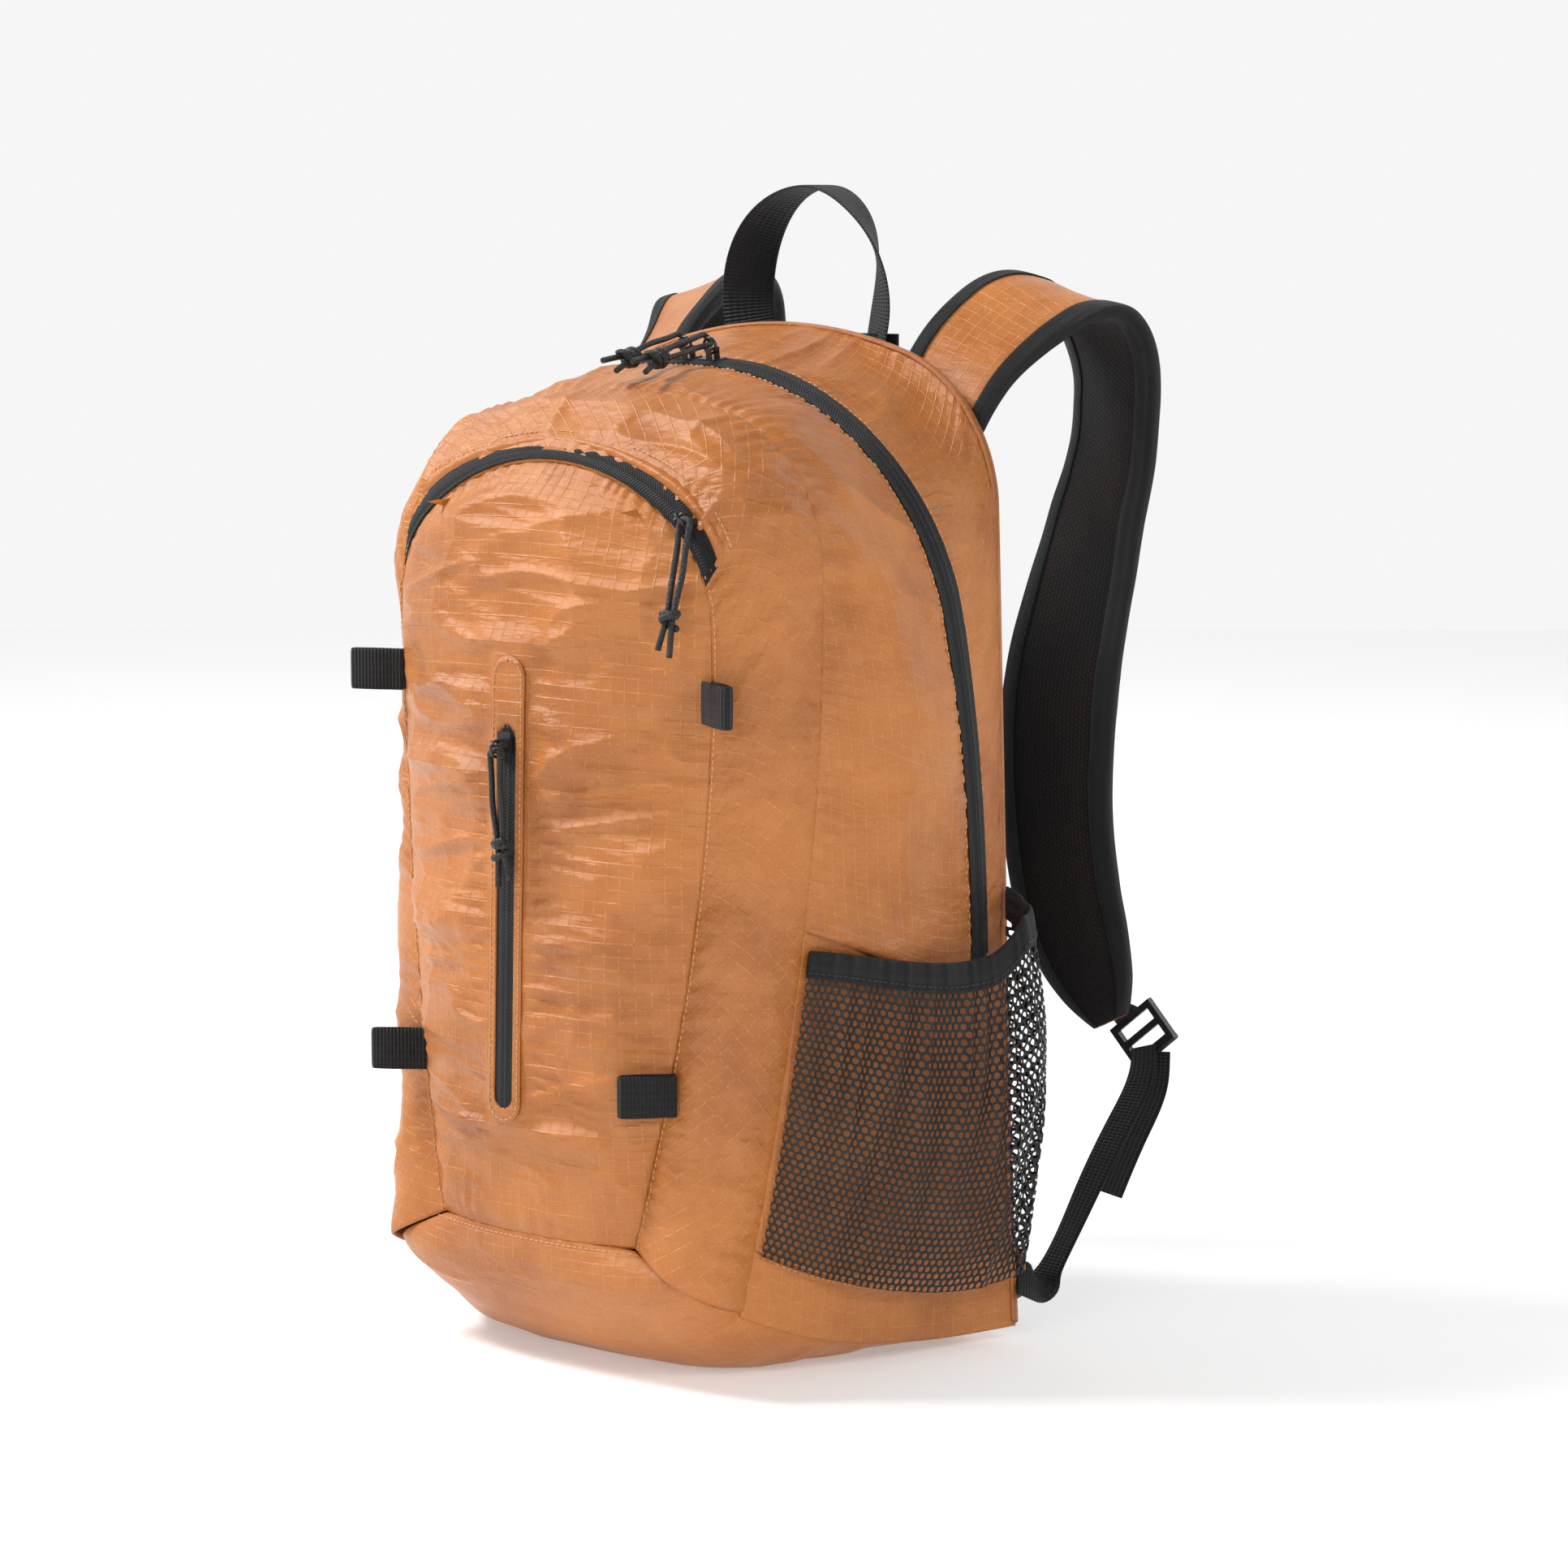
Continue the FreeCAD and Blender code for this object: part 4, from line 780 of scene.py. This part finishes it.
# ---------------------------------------------------------------- side pockets
def pocket_grid(sign, low, high, rows, cols):
    """Stuffed pocket: out = stand + bulge (1 - e^(-s/0.06)) (1 - s)^1.3, fuller in the middle of its height."""
    share, up = np.linspace(0, 1, cols)[None, :], np.linspace(low, high, rows)[:, None]
    _, knots = knots_at(np.array(0.8))
    start, end = knots[1] * 0.12, knots[1] + (knots[2] - knots[1]) * 0.99
    at = start + (end - start) * share
    depth = np.where(at < knots[1], at / knots[1], 1 + (at - knots[1]) / (knots[2] - knots[1]))
    hem = 202.0 + 17.0 * np.clip(1 - share / 0.33, 0, None)**1.6
    part = depth - np.floor(depth)
    at_back, at_zip, at_side = (RAILS[k].station_at(hem) for k in (BACK, ZIP, SIDE))
    top = np.where(depth < 1, at_back * (1 - part) + at_zip * part, at_zip * (1 - part) + at_side * part)
    station = sign * (BOOT_LINE + (top - BOOT_LINE) * up)
    _, knots = knots_at(station)
    dist = np.where(depth < 1, knots[1] * part, knots[1] + (knots[2] - knots[1]) * part)
    belly = 1.25 * (1 - np.exp(-share / 0.06)) * (1 - share)**1.3
    height = 0.30 + 0.70 * np.sin(np.pi * np.minimum(1.0, 0.12 + 0.68 * up))
    grid = skin_at(station, dist)
    grid[..., 0] += sign * (3.2 + 32.0 * belly * height)
    return grid, share, up


def pockets():
    for sign in (LEFT, RIGHT):
        side = NAMES[sign]
        grid, share, up = pocket_grid(sign, -0.01, 0.94, 150, 170)
        mm = share * 175
        hang = (folds(up * 60, mm + 6 * up, 60, 13, 5 + sign, 1.8) - 0.45) * 6.4
        hang += (folds(up * 60, mm, 60, 6, 8, 1.5) - 0.5) * 1.6
        edge = np.minimum(share, 1 - share) * 175
        reach = (1 - np.exp(-edge / 12)) * (0.35 + 0.65 * np.sin(np.pi * np.clip(up, 0, 1)))
        grid = raised(grid, hang * reach)
        uv = np.broadcast_arrays(mm * 1.08, up * 165)
        o = dress(cloth(f"mesh_pocket_{side}_net", grid, uv, 0.5), OPEN_MESH, replaces=[f"mesh_pocket_{side}"])
        hem_grid, share, up = pocket_grid(sign, 0.91, 1.0, 2, 240)
        low, high = hem_grid[0], hem_grid[1]
        a = np.linspace(0, 2 * np.pi, 20, endpoint=False)
        flat = np.sign(np.sin(a)) * np.abs(np.sin(a))**0.55
        out = normals(hem_grid)[1]
        ripple = (noise(np.arange(240) / 5.0, np.zeros(240), 3 + sign) - 0.5) * 1.4
        thick = (1.5 * np.cos(a))[None, :, None]
        rings = (low + high)[:, None] / 2 + (high - low)[:, None] / 2 * flat[None, :, None] \
            + out[:, None] * (thick + 0.4 + ripple[:, None, None])
        run = np.arange(240)[:, None] * 0.75
        hem = loft(f"pocket_hem_{side}_tape", rings, np.stack(np.broadcast_arrays(run, flat * 6.5), -1))
        dress(hem, TWILL, replaces=[f"pocket_hem_{side}"])
        seam = low * 0.78 + high * 0.22 + out * (1.9 + ripple[:, None])
        dress(stitches(f"hem_stitches_{side}", seam, out, 3.0, 2.1, 0.3), THREAD_BLACK)


# ---------------------------------------------------------------- straps
STRAP = [
    (92, 79, 437, 25, 0.80, 0.00, -0.58), (94, 87, 450, 25, 0.80, 0.00, -0.58),
    (96, 99, 464, 26, 0.84, 0.02, -0.50), (99, 116, 477, 28, 0.90, 0.04, -0.42),
    (107, 143, 490, 31, 0.95, 0.00, -0.30), (117, 167, 484, 32, 0.97, -0.10, -0.22),
    (123, 179, 456, 32, 0.95, -0.28, -0.14), (119, 179, 405, 32, 0.95, -0.28, 0.00),
    (107, 174, 350, 32, 0.99, -0.10, 0.05), (99, 169, 295, 33, 1.00, 0.00, 0.05),
    (101, 165, 240, 31, 1.00, 0.02, -0.05), (112, 162, 195, 29, 0.98, 0.04, -0.20),
    (127, 162, 160, 21, 0.93, 0.06, -0.36), (136, 163, 142, 12, 0.90, 0.06, -0.44),
]


def mirror(points, sign):
    """The same points on the side given by the sign."""
    return np.asarray(points, float) * np.array([sign, 1.0, 1.0])


def ribbon_rows(table, rows, sign, half=None):
    """Centre, half width, width direction and face direction along a strap or webbing."""
    table = [r if len(r) == 7 else (*r[:3], half, *r[3:]) for r in table]
    row = spline(table, rows)
    centre, width = row[:, :3], row[:, 3]
    ahead = unit(np.gradient(centre, axis=0))
    way = row[:, 4:7]
    way = unit(way - ahead * np.sum(way * ahead, 1, keepdims=True))
    face = np.cross(ahead, way)
    return mirror(centre, sign), width, mirror(way, sign), mirror(face, sign)


def straps():
    """Foam strap: a flattened oval with taped edges, cloth on its outer face and air mesh on its inner."""
    for sign in (LEFT, RIGHT):
        side = NAMES[sign]
        rows, sides = 220, 72
        centre, width, way, face = ribbon_rows(STRAP, rows, sign)
        run = np.concatenate([[0], np.cumsum(np.linalg.norm(np.diff(centre, axis=0), axis=1))])
        left = run[-1] + 5 - run
        tip = np.sqrt(np.clip(1 - np.clip(1 - left / 24, 0, 1)**2, 0.02, 1))
        width = width * (0.35 + 0.65 * tip)
        thick = (4.6 - 1.6 * np.exp(-run / 18)) * (0.55 + 0.45 * tip)
        a = np.linspace(0, 2 * np.pi, sides, endpoint=False)
        cx = np.sign(np.cos(a)) * np.abs(np.cos(a))**0.42
        cy = np.sign(np.sin(a)) * np.abs(np.sin(a))**0.62
        cup = (folds(run[:, None], np.cos(a)[None] * 30, 30, 40, 60 + sign, 1.5) - 0.5) * 1.2
        centre = centre + way * ((noise(run / 24, run * 0, 62 + sign) - 0.5) * 1.6)[:, None]

        def rings(out):
            return centre[:, None] + way[:, None] * (width[:, None] * cx + np.cos(a) * out)[..., None] \
                + face[:, None] * (thick[:, None] * cy + (out + cup) * np.sin(a))[..., None]

        body = rings(0.0)
        grid = np.concatenate([body, body[:, :1]], 1)
        top, low = slice(0, sides // 2 + 1), slice(sides // 2, sides + 1)
        cloth_side, mesh_side = (top, low) if face[20] @ np.array([0, 0, 1.0]) > 0 else (low, top)
        for name, cut, material in (("shell", cloth_side, RIPSTOP), ("lining", mesh_side, AIR_MESH)):
            part = grid[:, cut]
            flat = np.broadcast_arrays(run[:, None], (np.append(cx, cx[0])[cut] * 32)[None])
            o = cloth(f"strap_{side}_{name}", part, flat, 1.2, part - centre[:, None])
            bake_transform(o)
            dress(o, material, None)
        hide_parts(f"strap_root_{side}", f"strap_pad_{side}")
        for edge, middle in (("inner", 0), ("outer", sides // 2)):
            pick = np.arange(middle - 13, middle + 14) % sides
            grow = rings(0.9)[:, pick]
            flat = np.broadcast_arrays(run[:, None], np.arange(len(pick))[None] * 1.0)
            o = cloth(f"strap_{side}_binding_{edge}", grow, flat, 0.9, grow - centre[:, None])
            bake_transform(o)
            dress(o, TWILL, None, replaces=[f"strap_binding_{side}"] if edge == "inner" else ())


ADJUSTER = [(149, 172, 130, 0.90, -0.35, -0.10), (151, 168, 119, 0.90, -0.35, -0.10),
            (150, 153, 97, 0.90, -0.35, -0.10), (145, 130, 62, 0.88, -0.40, -0.15),
            (140, 114, 34, 0.80, -0.50, -0.20), (139, 103, 24, 0.60, -0.50, -0.50),
            (141, 93, 27, 0.40, -0.45, -0.70), (139, 85, 31, 0.40, -0.45, -0.70)]
TAIL = [(153, 179, 127, 0.90, -0.35, -0.10), (154, 176, 113, 0.90, -0.35, -0.10),
        (151, 164, 89, 0.90, -0.35, -0.10), (146, 150, 60, 0.88, -0.38, -0.12)]
NECK = [(133, 166, 149, 0.90, 0.04, -0.20), (137, 170, 146, 0.86, 0.00, 0.20),
        (141, 173.5, 142, 0.80, -0.05, 0.50)]


def webbing(name, table, sign, half, rows, body, replaces=()):
    """Flat webbing with rounded edges along a table of centres and width directions."""
    thick = 1.6
    centre, _, way, face = ribbon_rows(table, rows, sign, half)
    run = np.concatenate([[0], np.cumsum(np.linalg.norm(np.diff(centre, axis=0), axis=1))])
    a = np.linspace(0, 2 * np.pi, 28, endpoint=False)
    cx = np.sign(np.cos(a)) * np.abs(np.cos(a))**0.3
    cy = np.sign(np.sin(a)) * np.abs(np.sin(a))**0.7
    rings = centre[:, None] + way[:, None] * (half * cx)[None, :, None]
    rings = rings + face[:, None] * (thick / 2 * cy)[None, :, None]
    uv = np.stack(np.broadcast_arrays(run[:, None], (cx * half)[None]), -1)
    dress(loft(name, rings, uv), WEBBING, body, replaces)


HAUL = [(-0.94, -0.10, 0.85, 0.50, 0), (-1.00, 0.06, 0.85, 0.50, 0), (-1.02, 0.32, 0.72, 0.69, 0), (-0.86, 0.66, 0.45, 0.89, 0),
        (-0.42, 0.94, 0.15, 0.98, 0), (0.12, 1.00, -0.05, 1.00, 0), (0.62, 0.82, -0.30, 0.95, 0),
        (0.96, 0.44, -0.70, 0.72, 0), (1.00, 0.06, -0.85, 0.50, 0), (0.96, -0.10, -0.85, 0.50, 0)]


def bands():
    for sign in (LEFT, RIGHT):
        side = NAMES[sign]
        webbing(f"adjuster_{side}", ADJUSTER, sign, 9.6, 120, f"strap_{side}", replaces=[f"adjuster_webbing_{side}"])
        webbing(f"adjuster_tail_{side}", TAIL, sign, 9.6, 60, f"strap_{side}")
        webbing(f"buckle_neck_{side}", NECK, sign, 9.0, 20, f"strap_{side}")
    table = [(6 + 41 * a, 93 + 3 * b, 478 + 65 * b, *way) for a, b, *way in HAUL]
    webbing("haul_webbing", table, 1, 12.5, 160, "handle", replaces=["haul_loop"])
    loops = {"upper_left": (-99.35, -88.57, 318, 205.0), "upper_right": (99.27, -88.59, 316, -28.0),
             "lower_left": (-79.71, -96.17, 140, 215.0), "lower_right": (77.84, -96.48, 138, 228.0)}
    for name, (x, y, z, degrees) in loops.items():
        out = np.array([math.cos(math.radians(degrees)), math.sin(math.radians(degrees)), 0])
        over = np.array([-out[1], out[0], 0])
        a = np.linspace(-math.pi / 2, math.pi / 2, 15)
        leg = np.linspace(-0.28, 1, 14)[:-1]
        bow = np.sin(np.pi * np.clip(leg, 0, 1)) * 0.7
        ahead = [out * s * 18.6 - over * (2.1 + b) for s, b in zip(leg, bow)]
        tip = [out * (18.6 + 2.1 * math.cos(t)) + over * 2.1 * math.sin(t) for t in a]
        home = [out * s * 18.6 + over * (2.1 + b) for s, b in zip(leg[::-1], bow[::-1])]
        path = np.array(ahead + tip + home) + np.array([x, y, z])
        table = [(*p, 0, 0, 1) for p in path]
        webbing(f"tool_loop_{name}_webbing", table, 1, 9.6, 90, f"loop_{name}", replaces=[f"tool_loop_{name}"])


def corner_tabs():
    """Folded wing of shell cloth in each bottom corner."""
    for sign in (LEFT, RIGHT):
        side = NAMES[sign]
        v, c = np.linspace(0, 1, 24)[:, None], np.linspace(-1, 1, 30)[None, :]
        corner = RAILS[BACK].point(RAILS[BACK].station_at(34.0))
        half = 18.0 - 9.0 * v
        x = corner[0] - 4 + 5 * v - 5 * (1 - v) * (1 - c * c)
        y = corner[1] + 0.2 + 9 * v + (noise(c * 3 + 5, v * 3, 5) - 0.5) * 1.2
        grid = np.stack(np.broadcast_arrays(sign * x, y, corner[2] - 4 * v + half * c), -1)
        dress(cloth(f"corner_wing_{side}", grid, (grid[..., 2], np.broadcast_arrays(v * 12, c)[0]), 1.8,
                    np.array([sign * 1.0, 0, 0])), RIPSTOP, replaces=[f"corner_tab_{side}"])


# ---------------------------------------------------------------- cord pulls
ROUTE = [(0.0, 3.0, 0.0), (5.0, 3.0, 0.0), (13.0, 2.4, 0.6), (25.0, 2.9, 0.9), (36.0, 2.0, 0.3),
         (45.0, 1.6, 0.0), (53.0, 2.8, -0.3), (59.0, 4.2, 0.2)]
TAIL_SKEW = (3.0, 1.2, 0.3)
PULLS = {  # where each cord hangs on its ring, then its directions along and across
    "main_pull_left": ((-5.72, 12.07, 472.71), (0.102, -0.978, -0.183), (0.692, 0.202, -0.693)),
    "main_pull_right": ((9.69, 12.09, 472.60), (0.142, -0.973, -0.182), (0.650, 0.231, -0.724)),
    "arch_pull": ((87.14, -91.90, 397.30), (0.010, -0.250, -0.968), (-1.000, 0.004, -0.011)),
    "stash_pull": ((-0.16, -123.52, 290.43), (0.060, 0.020, -0.998), (0.998, -0.001, 0.060)),
}
CORD_LENGTH, CORD_WIDTH, KNOT_AT = 0.1256, 0.0028, 44.0


def knot_path():
    """Overhand knot: two and a half turns round the strands, wavering in radius and in advance."""
    t = np.linspace(0, 1, 120)
    a = 2 * np.pi * 2.4 * t + 0.6
    x = -4.0 + 7.8 * t + 1.2 * np.sin(a * 0.5)
    r = 3.4 + 0.5 * np.sin(a * 1.3)
    return np.stack([x, r * np.cos(a), r * 0.84 * np.sin(a)], -1)


def cords():
    for name, (origin, x, y) in PULLS.items():
        x, y = unit(np.array(x)), unit(np.array(y))
        z = np.cross(x, y)
        half = [p for p in reversed(ROUTE)]
        other = [(px, -py, pz) for px, py, pz in ROUTE]
        other[-1] = tuple(a + b for a, b in zip(other[-1], TAIL_SKEW))
        local = np.array(half + other)
        points = (np.array(origin) + local[:, :1] * x + local[:, 1:2] * y + local[:, 2:] * z) * MM
        curve = bpy.data.curves.new(f"{name}_line", "CURVE")
        curve.dimensions = "3D"
        curve.bevel_depth = CORD_WIDTH / 2
        curve.bevel_resolution = 4
        curve.resolution_u = 8
        curve.use_fill_caps = True
        run = curve.splines.new("NURBS")
        run.points.add(len(points) - 1)
        for p, q in zip(run.points, points):
            p.co = (*q, 1.0)
        run.order_u = 3
        run.use_endpoint_u = True
        o = bpy.data.objects.new(f"{name}_line", curve)
        bpy.context.scene.collection.objects.link(o)
        dress(o, BRAID, name, [f"{name}_cord"])
        turns = knot_path()
        centre = np.array(origin) + x * KNOT_AT
        ball = tube(f"{name}_overhand", centre + turns[:, :1] * x + turns[:, 1:2] * y + turns[:, 2:] * z, 1.6)
        dress(ball, BRAID, name, [f"{name}_knot"])


# ---------------------------------------------------------------- stage, light and camera
AZIMUTH = math.radians(40.3)


def studio():
    mesh = bpy.data.meshes.new("floor")
    mesh.from_pydata([(-6, -6, 0), (6, -6, 0), (6, 6, 0), (-6, 6, 0)], [], [(0, 1, 2, 3)])
    floor = bpy.data.objects.new("floor", mesh)
    bpy.context.scene.collection.objects.link(floor)
    look = Look("paper", 0.9, specular=0.1)
    look.finish((0.80, 0.80, 0.80))
    look.shader.inputs["Emission Color"].default_value = (1, 1, 1, 1)
    look.shader.inputs["Emission Strength"].default_value = 0.30
    floor.data.materials.append(look.material)
    away = np.array([-math.sin(AZIMUTH), math.cos(AZIMUTH), 0]) * 3.5
    across = np.array([math.cos(AZIMUTH), math.sin(AZIMUTH), 0]) * 7.0
    corners = [away - across, away + across, away + across + [0, 0, 5.0], away - across + [0, 0, 5.0]]
    mesh = bpy.data.meshes.new("backdrop")
    mesh.from_pydata([tuple(p) for p in corners], [], [(0, 1, 2, 3)])
    wall = bpy.data.objects.new("backdrop", mesh)
    bpy.context.scene.collection.objects.link(wall)
    look = Look("backdrop", 0.9, specular=0.0)
    look.finish((0.0, 0.0, 0.0))
    look.shader.inputs["Emission Color"].default_value = (1, 1, 1, 1)
    look.shader.inputs["Emission Strength"].default_value = 0.92
    wall.data.materials.append(look.material)
    world = bpy.context.scene.world or bpy.data.worlds.new("world")
    bpy.context.scene.world = world
    world.use_nodes = True
    background = world.node_tree.nodes["Background"]
    background.inputs[0].default_value = (1.0, 1.0, 1.0, 1)
    background.inputs[1].default_value = 0.30
    bpy.context.scene.view_settings.view_transform = "Standard"
    for name, place, size, power in (("key", (-1.3, -0.9, 2.1), 0.7, 72), ("front", (0.9, -2.4, 0.8), 1.4, 14),
                                     ("side", (2.4, -0.2, 1.6), 0.9, 24), ("back", (0.6, 2.2, 1.4), 1.2, 14)):
        light = bpy.data.lights.new(name, "AREA")
        light.size, light.energy = size, power
        o = bpy.data.objects.new(name, light)
        o.location = place
        o.rotation_euler = (Vector((0, 0, 0.25)) - Vector(place)).to_track_quat("-Z", "Y").to_euler()
        bpy.context.scene.collection.objects.link(o)


def camera():
    azimuth, elevation, distance = AZIMUTH, math.radians(7.5), 2.0769
    right = Vector((math.cos(azimuth), math.sin(azimuth), 0))
    away = Vector((math.sin(azimuth) * math.cos(elevation), -math.cos(azimuth) * math.cos(elevation),
                   math.sin(elevation)))
    up = away.cross(right)
    shift = -0.0505, -0.0277
    data = bpy.data.cameras.new("camera")
    data.lens, data.sensor_width = 100.6, 36
    o = bpy.data.objects.new("camera", data)
    place = Vector((0, 0, 0.235)) + away * distance - right * shift[0] - up * shift[1]
    o.matrix_world = Matrix((
        (right.x, up.x, away.x, place.x), (right.y, up.y, away.y, place.y), (right.z, up.z, away.z, place.z),
        (0, 0, 0, 1)))
    bpy.context.scene.collection.objects.link(o)
    bpy.context.scene.camera = o


camera()
studio()
shell()
base()
back()
zips()
stash()
pockets()
straps()
bands()
corner_tabs()
cords()
